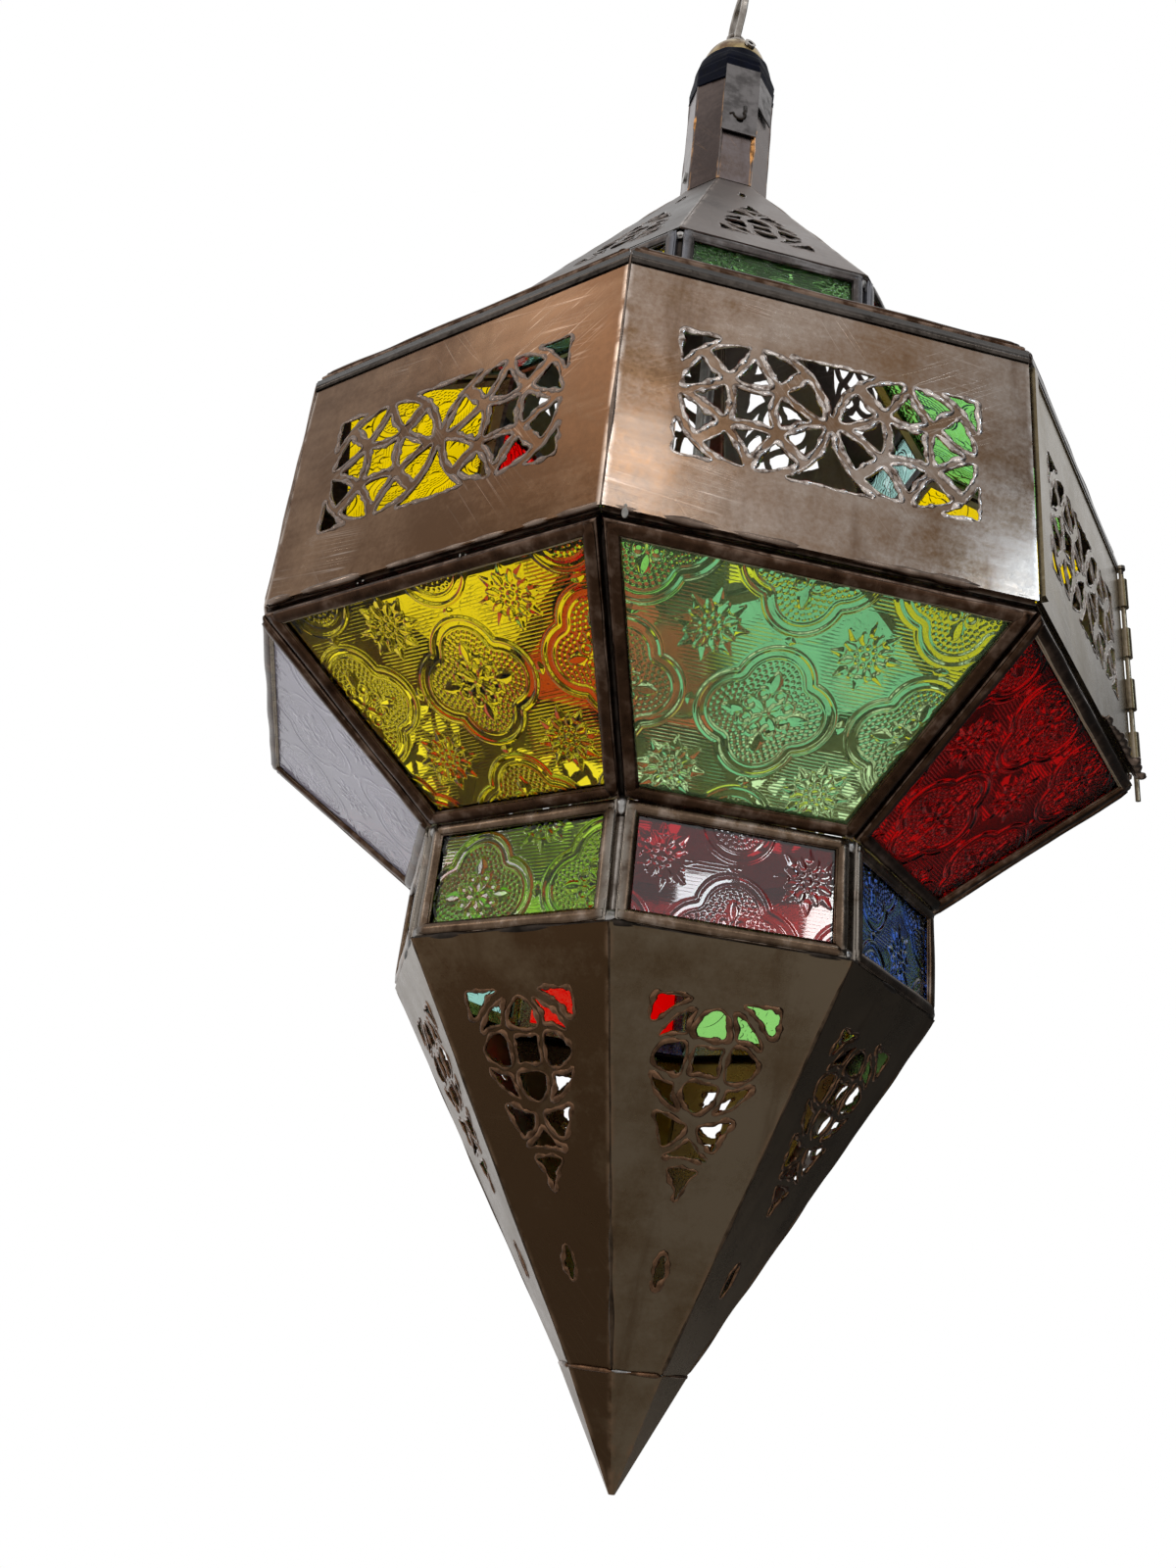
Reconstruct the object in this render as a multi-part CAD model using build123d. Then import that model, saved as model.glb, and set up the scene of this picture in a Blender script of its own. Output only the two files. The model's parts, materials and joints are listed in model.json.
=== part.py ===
"""Pointed eight-sided hanging lantern of pierced sheet metal and pressed glass, in millimetres.

The origin is the centre of the hanging link's bore, +Z is up and the front panel faces -Y.
"""
from build123d import *
import math
import os

# Body of the lantern: corner radii and heights of its eight-sided rings
facets = 8
band_r = 240.0
neck_r = 140.0
stem_r = 30.0
band_h = 126.0
lower_rise = 73.0
shoulder_rise = 66.0
neck_h = 55.0
cone_h = 170.0
tip_h = 50.0
tip_end_r = 1.5
roof_h = 165.0
tube_h = 120.0
sheet = 0.8

# Clearances: between facets, between rings, of loose plates in their slots, and overrun of cuts
seam_gap = 0.15
ring_gap = 0.7
fit_gap = 0.1
seat_gap = 0.3
overrun = 5.0

# Folded channel frames and the glass in them
frame_face = 6.5
frame_depth = 5.5
frame_round = 1.2
rebate = 3.0
pane_t = 3.0

# Pierced band: two medallions side by side in a window
medallion_r = 30.5
medallion_pitch = 68.5
bar_w = 4.0
window_half_h = 31.0
window_end = 31.5
arc_centre_share = 1.443
arc_radius_share = 1.505
sag_centre_share = 1.134
sag_radius_share = 0.839
hem_h = 5.0
hem_t = 1.6
bead_h = 3.0
bead_up = 3.0
bead_t = 0.7

# Strips that carry the band and the sloping frames
rail_t = 1.5
rail_w = 16.0
rail_inset = 2.0

# Door in the band, hinged at the corner to its right
door_facet = 1
door_gap = 2.0
door_lift = 0.6
lip_w = 5.0
lip_t = 1.6
hinge_out = 1.5
hinge_cut = 2.6
pin_r = 1.3
pin_clear = 0.05
knuckle_r = 2.8
knuckle_h = 18.0
knuckle_play = 0.4
pin_tail = 14.0
pin_head_r = 2.4
pin_head_h = 2.0
hinge_leaf_w = 12.0

# Pierced shield on the roof and cone facets
shield_r = 24.0
shield_centre = 53.3
shield_ring = 5.0
shield_bar = 4.0
shield_corner_shares = (1.16, 1.11, 0.60)
arch_end_shares = (0.0, 1.06)
arch_mid_shares = (0.36, 0.73)
arch_node_shares = (0.383, 0.396)
waist_share = 0.318
apron_shares = ((0.74, 1.05), (0.49, 1.60), (0.36, 1.98), (0.13, 2.30), (0.0, 2.65))
cross_shares = ((0.0, 1.05), (0.10, 1.45), (0.46, 1.76))
sill_shares = ((0.46, 2.00), (0.0, 1.92))
slit_centre = 150.0
slit_half_l = 8.5
slit_half_w = 2.4
least_opening = 3.0

# Hanging link, the eye it hangs in and the dome under them
link_bore_r = 15.0
link_lobe_r = 3.0
link_taper = 46.5
link_bar = 4.0
link_t = 5.0
link_edge = 1.2
eye_hole_r = 4.5
eye_wire_r = 1.5
boss_r = 8.0
boss_h = 9.0
boss_thread = 6.5
dome_r = 23.5
dome_rise = 40.0
dome_flat_r = 8.5
dome_neck_r = 20.5
dome_wall = 1.0
dome_foot_r = 27.2
dome_foot_t = 1.2
bush_r = 3.2
bush_bore_r = 2.0
bush_head_r = 4.2
bush_head_t = 1.6
bush_reach = 3.0
bush_turn = 12.0
bush_lift = 14.0

# Tape round the tube's mouth and the sheet tongue in front of it
tape_t = 0.8
tape_low = 24.0
tape_high = 12.0
tape_top_r = 26.0
tab_low = 76.0
tab_drop = 12.0
tab_wing_w = 19.0
tab_wing_h = 30.0
tab_wing_up = 30.0
tab_hole_r = 2.5
tab_hole_up = 12.0

# Threaded tube, strap and lamp inside
lamp_tube_r = 5.0
lamp_tube_bore = 3.5
hole_clear = 0.3
bar_wide = 16.0
bar_t = 3.0
bar_up = 14.0
bar_tab_h = 16.0
rivet_r = 2.0
rivet_head_r = 3.6
rivet_head_t = 1.6
rivet_up = 10.0
nut_flats = 16.0
nut_t = 4.0
holder_r = 20.0
holder_h = 46.0
holder_floor = 8.0
holder_cap_h = 24.0
holder_neck_r = 9.0
holder_grip = 8.0
socket_clear = 0.5
bulb_base_r = 13.0
bulb_base_h = 26.0
bulb_in = 20.0
bulb_r = 30.0
bulb_neck_r = 14.0
bulb_drop = 62.0
bulb_wall = 0.8

# Angles and ratios of the eight-sided plan
turn = 360 / facets
half_turn = math.radians(turn / 2)
flat_ratio = math.cos(half_turn)
side_ratio = math.sin(half_turn)
mitre_ratio = math.tan(half_turn)


def nearby_tilt(r_low, r_high, rise):
    """Vertical share of a sloping facet's normal, and the tangent of half the turn to the next."""
    run = (r_low - r_high) * flat_ratio
    slant = math.hypot(run, rise)
    upright, lean = rise / slant, run / slant
    between = math.acos(upright ** 2 * math.cos(2 * half_turn) + lean ** 2)
    return lean, math.tan(between / 2)


def nest_depth(lean):
    """How far an upright frame's rounded edge tucks under the rounded edge of a sloping frame."""
    upright = math.sqrt(1 - lean ** 2)
    aside = frame_round * (1 + lean - upright)
    apart = math.sqrt((2 * frame_round + seat_gap) ** 2 - aside ** 2)
    return frame_round * (1 + lean + upright) - apart


# Levels from the link's bore downwards
lobe_drop = (link_bore_r - link_lobe_r) / math.sin(math.radians(link_taper))
eye_lift = math.sqrt(eye_hole_r ** 2 - (link_t / 2 - link_edge) ** 2) - seat_gap
z_eye = -lobe_drop - link_lobe_r - eye_lift
eye_ring_r = eye_hole_r + eye_wire_r
z_boss = z_eye - eye_ring_r
z_seat = z_boss - boss_h
z_dome = z_seat - math.sqrt(dome_r ** 2 - dome_flat_r ** 2)
z_tube_top = z_seat - dome_rise
z_tube_low = z_tube_top - tube_h
z_roof_top = z_tube_low - ring_gap
z_eave = z_roof_top - roof_h
z_upper_neck = z_eave - ring_gap
shoulder_lean = nearby_tilt(band_r, neck_r, shoulder_rise)[0]
z_shoulder_top = z_upper_neck - neck_h + nest_depth(abs(shoulder_lean))
z_shoulder_low = z_shoulder_top - shoulder_rise
z_band_top = z_shoulder_low - rail_t - frame_depth * shoulder_lean - seat_gap
z_band_low = z_band_top - band_h
lower_lean = nearby_tilt(neck_r, band_r, lower_rise)[0]
z_lower_top = z_band_low - rail_t + frame_depth * lower_lean - seat_gap
z_lower_low = z_lower_top - lower_rise
z_neck_top = z_lower_low + nest_depth(abs(lower_lean))
z_neck_low = z_neck_top - neck_h
z_cone_top = z_neck_low - ring_gap
z_cone_low = z_cone_top - cone_h
z_tip_top = z_cone_low - ring_gap
z_tip = z_tip_top - tip_h


def write(shape, node):
    """Write one node to its own file."""
    export_step(shape, f"parts/{node}.step")


def facet_plane(index, r_low, z_low, r_high, z_high):
    """Plane on a facet's outer face: origin at the middle of its lower edge, X to the right, Z out."""
    angle = math.radians(turn * index)
    right = Vector(math.cos(angle), math.sin(angle), 0)
    out = Vector(math.sin(angle), -math.cos(angle), 0)
    upward = Vector(0, 0, z_high - z_low) + out * ((r_high - r_low) * flat_ratio)
    origin = out * (r_low * flat_ratio) + Vector(0, 0, z_low)
    return Plane(origin=origin, x_dir=right, z_dir=right.cross(upward))


def slant_length(r_low, z_low, r_high, z_high):
    """Length of a facet from its lower edge to its upper edge."""
    return math.hypot((r_high - r_low) * flat_ratio, z_high - z_low)


def trapezoid(half_low, half_high, height, side_in, end_in):
    """Four-sided face, drawn in by side_in at its sides and by end_in at its ends."""
    slope = (half_high - half_low) / height
    side_shift = side_in * math.hypot(1, slope)
    low = half_low + slope * end_in - side_shift
    high = half_high - slope * end_in - side_shift
    return make_face(Polyline((-low, end_in), (low, end_in), (high, height - end_in),
                              (-high, height - end_in), close=True))


def ring_of(shape, *ring):
    """Copies of a facet's solid on all eight facets of a ring."""
    return [facet_plane(k, *ring).location * shape for k in range(facets)]


def octagon(radius, level):
    """Eight-sided face with flats to the front, back and sides."""
    return Pos(0, 0, level) * RegularPolygon(radius, facets, rotation=turn / 2)


def lathe(edges):
    """Solid of revolution of a closed outline in the XZ plane."""
    return revolve(make_face(edges), axis=Axis.Z)


def rod(radius, low, high):
    """Upright cylinder on the axis between two levels."""
    return Pos(0, 0, low) * Cylinder(radius, high - low, align=(Align.CENTER, Align.CENTER, Align.MIN))


def big_enough(sketch):
    """The openings of a sketch without the slivers between bars."""
    return Sketch() + [face for face in sketch.faces() if face.area > least_opening]


def glazing(r_low, z_low, r_high, z_high):
    """Channel frame and pane of one facet, in that facet's plane."""
    ring = (r_low, z_low, r_high, z_high)
    height = slant_length(*ring)
    half_low, half_high = r_low * side_ratio, r_high * side_ratio
    side_in = frame_depth * nearby_tilt(r_low, r_high, z_high - z_low)[1] + seam_gap
    outer = trapezoid(half_low, half_high, height, side_in, 0)
    light = trapezoid(half_low, half_high, height, side_in + frame_face, frame_face)
    slot_in = frame_face - rebate
    slot = trapezoid(half_low, half_high, height, side_in + slot_in, slot_in)
    pane_in = slot_in + seat_gap
    pane = trapezoid(half_low, half_high, height, side_in + pane_in, pane_in)
    slot_t = pane_t + 2 * fit_gap
    frame = extrude(outer - light, -frame_depth)
    frame = fillet(frame.faces().sort_by(Axis.Z)[-1].edges(), frame_round)
    frame -= Pos(0, 0, (slot_t - frame_depth) / 2) * extrude(slot, -slot_t)
    return frame, Pos(0, 0, (pane_t - frame_depth) / 2) * extrude(pane, -pane_t)


def write_glazing(name, *ring):
    """Eight panes as nodes of their own, and their frames as one group."""
    frame, pane = glazing(*ring)
    for number, solid in enumerate(ring_of(pane, *ring), 1):
        write(solid, f"{name}_pane_{number}")
    write(Compound(children=ring_of(frame, *ring)), f"{name}_frames")


def annulus(centre, radius, width):
    """Flat ring with a bar's width."""
    return Pos(*centre) * (Circle(radius + width / 2) - Circle(radius - width / 2))


def medallion():
    """Openings of one round medallion: petals, pointed triangles and a middle square."""
    disc = Circle(medallion_r)
    arc_at, arc_r = arc_centre_share * medallion_r, arc_radius_share * medallion_r
    sag_at, sag_r = sag_centre_share * medallion_r, sag_radius_share * medallion_r
    for side in (-1, 1):
        for end in (-1, 1):
            disc -= annulus((side * arc_at, end * arc_at), arc_r, bar_w)
        disc -= annulus((side * sag_at, 0), sag_r, bar_w)
        disc -= annulus((0, side * sag_at), sag_r, bar_w)
    return disc


def band_openings():
    """Piercing of one band panel, about the panel's middle."""
    middles = [(-medallion_pitch / 2, 0), (medallion_pitch / 2, 0)]
    window = Rectangle(medallion_pitch + 2 * window_end, 2 * window_half_h)
    holes = []
    for middle in middles:
        window -= Pos(*middle) * Circle(medallion_r + bar_w)
        holes += [Pos(*middle) * face for face in medallion().faces()]
    return big_enough(Sketch() + window.faces() + holes)


def band_panel(left, right, low, high):
    """Pierced sheet between its ends, with folded hems inside and a bead that stands above its top outside."""
    plate = make_face(Polyline((-left, low), (right, low), (right, high), (-left, high), close=True))
    plate -= Pos(0, band_h / 2) * band_openings()
    panel = extrude(plate, -sheet)
    back = sheet * mitre_ratio + hem_t * mitre_ratio
    for start, end in ((low, low + hem_h), (high - hem_h, high)):
        hem = Polyline((-left + back, start), (right - back, start), (right - back, end),
                       (-left + back, end), close=True)
        panel += Pos(0, 0, -sheet) * extrude(make_face(hem), -hem_t)
    bead_low, bead_high = high - bead_h, high + bead_up
    bead = Polyline((-left, bead_low), (right, bead_low), (right, bead_high), (-left, bead_high), close=True)
    return panel + extrude(make_face(bead), bead_t)


band_ring = (band_r, z_band_low, band_r, z_band_top)
panel_half = band_r * side_ratio
panel_end = panel_half - sheet * mitre_ratio - seam_gap
hinge_angle = turn * (door_facet + 1 / 2)
hinge_at = Rot(0, 0, hinge_angle) * Pos(0, -band_r - hinge_out, 0)
knuckle_step = band_h / 4


def knuckles(numbers):
    """Rolled tubes on the hinge line, in the quarters of the band's height that are named."""
    height = knuckle_h - knuckle_play
    tube = Cylinder(knuckle_r, height) - Cylinder(pin_r + pin_clear, height + overrun)
    return [hinge_at * Pos(0, 0, z_band_low + (n + 1 / 2) * knuckle_step) * tube for n in numbers]


def knuckle_webs(numbers, facet, reach, side, out):
    """Strips from a panel's end to the knuckles, along the inside or the outside of its sheet."""
    plane = facet_plane(facet, *band_ring).location
    far = reach + hinge_cut
    middle = side * (panel_half - (far + pin_r) / 2)
    web = Box(far - pin_r, knuckle_h - knuckle_play, sheet)
    return [plane * Pos(middle, (n + 1 / 2) * knuckle_step, out) * web for n in numbers]


def write_band():
    """Seven fixed panels, the door with its knuckles, and the fixed half of the hinge."""
    fixed = band_panel(panel_end, panel_end, 0, band_h)
    beside_hinge = band_panel(panel_half - hinge_cut, panel_end, 0, band_h)
    panels = []
    for k in range(facets):
        if k != door_facet:
            shape = beside_hinge if k == door_facet + 1 else fixed
            panels.append(facet_plane(k, *band_ring).location * shape)
    write(Compound(children=panels), "band_panels")

    pin_hole = hinge_at * Cylinder(pin_r + pin_clear, 4 * abs(z_tip))
    door = band_panel(panel_end - door_gap, panel_half - hinge_cut, door_lift, band_h - door_lift)
    lip = Pos(lip_w / 2 - panel_end + door_gap, band_h / 2, lip_t / 2)
    door += lip * Box(lip_w, band_h - 2 * (door_lift + bead_h), lip_t)
    door = facet_plane(door_facet, *band_ring).location * door
    door_quarters, fixed_quarters = (1, 3), (0, 2)
    door += knuckle_webs(door_quarters, door_facet, hinge_cut, 1, -sheet / 2) + knuckles(door_quarters)
    write(door - pin_hole, "access_door")

    leaf = knuckle_webs(fixed_quarters, door_facet + 1, hinge_leaf_w, -1, sheet / 2)
    halves = [web + tube - pin_hole for web, tube in zip(leaf, knuckles(fixed_quarters))]
    write(Compound(children=halves), "hinge_knuckles")

    pin = Pos(0, 0, z_band_low - pin_tail) * Cylinder(
        pin_r, band_h + pin_tail, align=(Align.CENTER, Align.CENTER, Align.MIN))
    pin += Pos(0, 0, z_band_top) * Cylinder(
        pin_head_r, pin_head_h, align=(Align.CENTER, Align.CENTER, Align.MIN))
    write(hinge_at * pin, "door_hinge_pin")


def write_rails():
    """Flat strips under and over the band, mitred at the corners."""
    outer = (band_r - rail_inset) * flat_ratio
    half = mitre_ratio * outer - seam_gap
    inner = half - mitre_ratio * rail_w
    strip = make_face(Polyline((-half, 0), (half, 0), (inner, rail_w), (-inner, rail_w), close=True))
    strips = []
    for level in (z_band_low - rail_t, z_band_top):
        for k in range(facets):
            strips.append(Rot(0, 0, turn * k) * Pos(0, -outer, level) * extrude(strip, rail_t))
    write(Compound(children=strips), "band_rails")


def shield_point(shares, side=1):
    """Point of the shield motif from shares of its ring's radius; Y runs from its middle to its tip."""
    return (side * shares[0] * shield_r, shares[1] * shield_r)


def bar(*points, width=shield_bar):
    """Bar of even width along an arc through three points."""
    return trace(ThreePointArc(*points), width)


def wavy_bar(side):
    """Bar from the top of the shield's ring to its foot, bowed out at both ends and in at the waist."""
    end, mid, node = (shield_point(s, side) for s in (arch_end_shares, arch_mid_shares, arch_node_shares))
    waist = (side * waist_share * shield_r, 0)
    foot_node, foot_mid, foot = ((p[0], -p[1]) for p in (node, mid, end))
    return bar(end, mid, node) + bar(node, waist, foot_node) + bar(foot_node, foot_mid, foot)


def shield_openings():
    """Pierced shield about the middle of its ring, with its point towards +Y."""
    disc = Circle(shield_r)
    corner_x, corner_y, corner_low = (share * shield_r for share in shield_corner_shares)
    corners = Pos(0, -(corner_y + corner_low) / 2) * Rectangle(2 * corner_x, corner_y - corner_low)
    corners -= Circle(shield_r + shield_ring)
    for side in (-1, 1):
        disc -= wavy_bar(side)
        disc -= Rot(0, 0, 90) * wavy_bar(side)
    left = [shield_point(s, -1) for s in apron_shares]
    right = [shield_point(s) for s in apron_shares]
    apron = make_face([Line(right[0], left[0]), ThreePointArc(*left[:3]), ThreePointArc(*left[2:]),
                       ThreePointArc(*right[:3]), ThreePointArc(*right[2:])])
    apron -= Circle(shield_r + shield_ring)
    for side in (-1, 1):
        apron -= bar(*(shield_point(s, side) for s in cross_shares))
    sill_end, sill_mid = sill_shares
    apron -= bar(shield_point(sill_end, -1), shield_point(sill_mid), shield_point(sill_end), width=shield_ring)
    return big_enough(Sketch() + corners.faces() + disc.faces() + apron.faces())


def slit():
    """Leaf-shaped slit about its own middle."""
    sides = [ThreePointArc((0, -slit_half_l), (side * slit_half_w, 0), (0, slit_half_l)) for side in (-1, 1)]
    return make_face(sides)


def pierced_facet(r_low, z_low, r_high, z_high):
    """Sloping sheet with the shield and slit, measured from its wide edge."""
    height = slant_length(r_low, z_low, r_high, z_high)
    tilt = nearby_tilt(r_low, r_high, z_high - z_low)[1]
    plate = trapezoid(r_low * side_ratio, r_high * side_ratio, height, sheet * tilt + seam_gap, 0)
    motif = Sketch() + [Pos(0, shield_centre) * face for face in shield_openings().faces()]
    motif += Pos(0, slit_centre) * slit()
    if r_high > r_low:
        motif = Pos(0, height) * Rot(0, 0, 180) * motif
    return extrude(plate - motif, -sheet)


def write_sheet_ring(node, *ring):
    """Eight pierced facets of a sloping ring as one group."""
    write(Compound(children=ring_of(pierced_facet(*ring), *ring)), node)


def frustum(r_low, z_low, r_high, z_high):
    """Solid eight-sided frustum between two levels."""
    return loft([octagon(r_low, z_low), octagon(r_high, z_high)], ruled=True)


def write_tip():
    """Hollow point below the cone."""
    slope = (stem_r - tip_end_r) / tip_h
    wall = sheet * math.hypot(1, slope) / flat_ratio
    hollow_end = z_tip + (wall + tip_end_r) / slope
    hollow = frustum(tip_end_r, hollow_end, stem_r - wall, z_tip_top)
    write(frustum(tip_end_r, z_tip, stem_r, z_tip_top) - hollow, "cone_tip")


def write_tube():
    """Folded eight-sided tube with holes for the strap's rivets, the tape and the front tongue."""
    inner_r = stem_r - sheet / flat_ratio
    tube = extrude(octagon(stem_r, z_tube_low), tube_h) - extrude(octagon(inner_r, z_tube_low), tube_h)
    rivet_hole = Pos(0, 0, z_tube_low + bar_up + rivet_up) * Rot(0, 90, 0)
    tube -= rivet_hole * Cylinder(rivet_r + fit_gap, 4 * stem_r)
    write(tube, "top_tube")

    under, over = stem_r + seat_gap, stem_r + seat_gap + tape_t / flat_ratio
    z_low, z_high = z_tube_top - tape_low, z_tube_top + tape_high
    top_over = tape_top_r + tape_t / flat_ratio
    tape = extrude(octagon(over, z_low), tape_low) - extrude(octagon(under, z_low), tape_low)
    tape += frustum(over, z_tube_top, top_over, z_high) - frustum(under, z_tube_top, tape_top_r, z_high)
    write(tape, "tape_wrap")

    tab_r = over + seat_gap
    tab_low_z, tab_high_z = z_tube_top - tab_low, z_tube_top - tab_drop
    half = (tab_r + sheet / flat_ratio) * side_ratio
    tab = facet_plane(0, tab_r, tab_low_z, tab_r, tab_high_z)
    plate = Box(2 * half, tab_low - tab_drop, sheet, align=(Align.CENTER, Align.MIN, Align.MIN))
    plate -= Pos(0, tab_hole_up, 0) * Cylinder(tab_hole_r, overrun)
    wing = Box(tab_wing_w, tab_wing_h, sheet, align=(Align.MIN, Align.MIN, Align.MIN))
    wing_plane = facet_plane(1, tab_r, tab_low_z, tab_r, tab_high_z)
    write(tab.location * plate + wing_plane.location * Pos(-half, tab_wing_up, 0) * wing, "front_tab")


def write_hanger():
    """Pear-shaped link, the eye it hangs in, the dome and its cord bush."""
    lobe = Pos(0, -lobe_drop)
    inside = make_hull([Circle(link_bore_r).edge(), (lobe * Circle(link_lobe_r)).edge()])
    outside = make_hull([Circle(link_bore_r + link_bar).edge(), (lobe * Circle(link_lobe_r + link_bar)).edge()])
    link = extrude(outside - inside, link_t / 2, both=True)
    link = fillet(link.faces().filter_by(Axis.Z).edges(), link_edge)
    write(Rot(0, 0, 90) * Rot(90, 0, 0) * link, "hanging_link")

    eye = Pos(0, 0, z_eye) * Rot(90, 0, 0) * Torus(eye_ring_r, eye_wire_r)
    eye += rod(boss_r, z_seat, z_boss)
    eye -= rod(lamp_tube_r + fit_gap, z_seat - overrun, z_seat + boss_thread + fit_gap)
    write(eye, "loop_eye")

    hole_r = lamp_tube_r + hole_clear
    inner_r, inner_neck = dome_r - dome_wall, dome_neck_r - dome_wall
    z_under, z_foot = z_seat - dome_wall, z_tube_top + dome_foot_t
    flat_in = math.sqrt(inner_r ** 2 - (z_under - z_dome) ** 2)
    z_neck = z_dome - math.sqrt(dome_r ** 2 - dome_neck_r ** 2)
    z_neck_in = z_dome - math.sqrt(inner_r ** 2 - inner_neck ** 2)
    dome = lathe([
        Line((hole_r, 0, z_seat), (dome_flat_r, 0, z_seat)),
        ThreePointArc((dome_flat_r, 0, z_seat), (dome_r, 0, z_dome), (dome_neck_r, 0, z_neck)),
        Polyline((dome_neck_r, 0, z_neck), (dome_neck_r, 0, z_foot), (dome_foot_r, 0, z_foot),
                 (dome_foot_r, 0, z_tube_top), (inner_neck, 0, z_tube_top), (inner_neck, 0, z_neck_in)),
        ThreePointArc((inner_neck, 0, z_neck_in), (inner_r, 0, z_dome), (flat_in, 0, z_under)),
        Polyline((flat_in, 0, z_under), (hole_r, 0, z_under), (hole_r, 0, z_seat)),
    ])
    outward = Pos(0, 0, z_dome) * Rot(0, 0, bush_turn) * Rot(90 - bush_lift, 0, 0)
    start = dome_r - dome_wall - bush_reach
    along = (Align.CENTER, Align.CENTER, Align.MIN)
    write(dome - outward * Cylinder(bush_r + fit_gap, 2 * dome_r, align=along), "dome_cap")
    bush = Pos(0, 0, start) * Cylinder(bush_r, dome_r - start, align=along)
    bush += Pos(0, 0, dome_r) * Cylinder(bush_head_r, bush_head_t, align=along)
    bush -= Cylinder(bush_bore_r, 2 * dome_r, align=along)
    write(outward * bush, "cord_bush")


def write_lamp():
    """Threaded tube with its nuts, the strap that it carries, the lamp holder and the bulb."""
    z_bar = z_tube_low + bar_up
    z_bulb = (z_band_low + z_band_top) / 2
    z_base_low = z_bulb + bulb_drop - bulb_base_h
    z_holder = z_base_low + bulb_base_h - bulb_in
    z_cap = z_holder + holder_h
    z_grip = z_cap + holder_cap_h - holder_grip
    tube = rod(lamp_tube_r, z_grip, z_seat + boss_thread) - rod(lamp_tube_bore, z_grip, z_seat + boss_thread)
    write(tube, "lamp_tube")

    through = lamp_tube_r + hole_clear
    inside = stem_r * flat_ratio - sheet - fit_gap
    strap = Pos(0, 0, z_bar) * Box(2 * inside, bar_wide, bar_t, align=(Align.CENTER, Align.CENTER, Align.MIN))
    for side in (-1, 1):
        strap += Pos(side * (inside - bar_t / 2), 0, z_bar) * Box(
            bar_t, bar_wide, bar_tab_h, align=(Align.CENTER, Align.CENTER, Align.MIN))
    rivet_line = Pos(0, 0, z_bar + rivet_up) * Rot(0, 90, 0)
    strap -= rod(through, z_bar - overrun, z_bar + overrun)
    strap -= rivet_line * Cylinder(rivet_r + fit_gap, 4 * stem_r)
    write(strap, "cross_bar")

    outside = stem_r * flat_ratio
    head = (Align.CENTER, Align.CENTER, Align.MIN)
    rivet = Pos(0, 0, inside - bar_t - rivet_head_t) * Cylinder(rivet_head_r, rivet_head_t, align=head)
    rivet += Pos(0, 0, inside - bar_t) * Cylinder(rivet_r, outside - inside + bar_t, align=head)
    rivet += Pos(0, 0, outside) * Cylinder(rivet_head_r, rivet_head_t, align=head)
    rivets = [rivet_line * Rot(0, flip, 0) * rivet for flip in (0, 180)]
    write(Compound(children=rivets), "cross_bar_rivets")

    nut = extrude(RegularPolygon(nut_flats / 2, 6, major_radius=False) - Circle(lamp_tube_r + fit_gap), nut_t)
    nut_levels = (z_bar + bar_t, z_bar - nut_t, z_cap + holder_cap_h)
    write(Compound(children=[Pos(0, 0, level) * nut for level in nut_levels]), "tube_nuts")

    cap = lathe(Polyline((0, 0, z_cap), (holder_r, 0, z_cap), (holder_neck_r, 0, z_cap + holder_cap_h),
                         (0, 0, z_cap + holder_cap_h), close=True))
    cap -= rod(lamp_tube_r + fit_gap, z_grip, z_cap + holder_cap_h + overrun)
    write(cap, "holder_cap")
    body = rod(holder_r, z_holder, z_cap)
    body -= rod(bulb_base_r + socket_clear, z_holder - overrun, z_holder + bulb_in + socket_clear)
    write(body, "holder_body")

    write(rod(bulb_base_r, z_base_low, z_base_low + bulb_base_h), "bulb_base")
    write(bulb_shell(z_bulb, z_base_low), "bulb_glass")


def bulb_shell(z_bulb, z_mouth):
    """Thin pear-shaped envelope, open where the base closes it."""
    inner_r, inner_neck = bulb_r - bulb_wall, bulb_neck_r - bulb_wall
    shoulder = bulb_r * math.sqrt(1 / 2)
    shoulder_in = inner_r * math.sqrt(1 / 2)
    return lathe([
        ThreePointArc((0, 0, z_bulb - bulb_r), (shoulder, 0, z_bulb - shoulder), (bulb_r, 0, z_bulb)),
        ThreePointArc((bulb_r, 0, z_bulb), (bulb_r * flat_ratio, 0, z_bulb + bulb_r * side_ratio),
                      (shoulder, 0, z_bulb + shoulder)),
        Polyline((shoulder, 0, z_bulb + shoulder), (bulb_neck_r, 0, z_mouth), (inner_neck, 0, z_mouth),
                 (shoulder_in, 0, z_bulb + shoulder_in)),
        ThreePointArc((shoulder_in, 0, z_bulb + shoulder_in),
                      (inner_r * flat_ratio, 0, z_bulb + inner_r * side_ratio), (inner_r, 0, z_bulb)),
        ThreePointArc((inner_r, 0, z_bulb), (shoulder_in, 0, z_bulb - shoulder_in), (0, 0, z_bulb - inner_r)),
        Line((0, 0, z_bulb - inner_r), (0, 0, z_bulb - bulb_r)),
    ])


os.makedirs("parts", exist_ok=True)
write_glazing("lower", neck_r, z_lower_low, band_r, z_lower_top)
write_glazing("lower_neck", neck_r, z_neck_low, neck_r, z_neck_top)
write_glazing("shoulder", band_r, z_shoulder_low, neck_r, z_shoulder_top)
write_glazing("upper_neck", neck_r, z_upper_neck - neck_h, neck_r, z_upper_neck)
write_band()
write_rails()
write_sheet_ring("cone_panels", stem_r, z_cone_low, neck_r, z_cone_top)
write_sheet_ring("roof_panels", neck_r, z_eave, stem_r, z_roof_top)
write_tip()
write_tube()
write_hanger()
write_lamp()
print("eye", z_eye, "band", z_band_low, z_band_top, "tip", z_tip)
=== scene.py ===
"""Looks of the pointed eight-sided hanging lantern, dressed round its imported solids, in metres."""
import bmesh
import bpy
import json
import math
import numpy as np
from mathutils import Matrix, Vector


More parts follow.
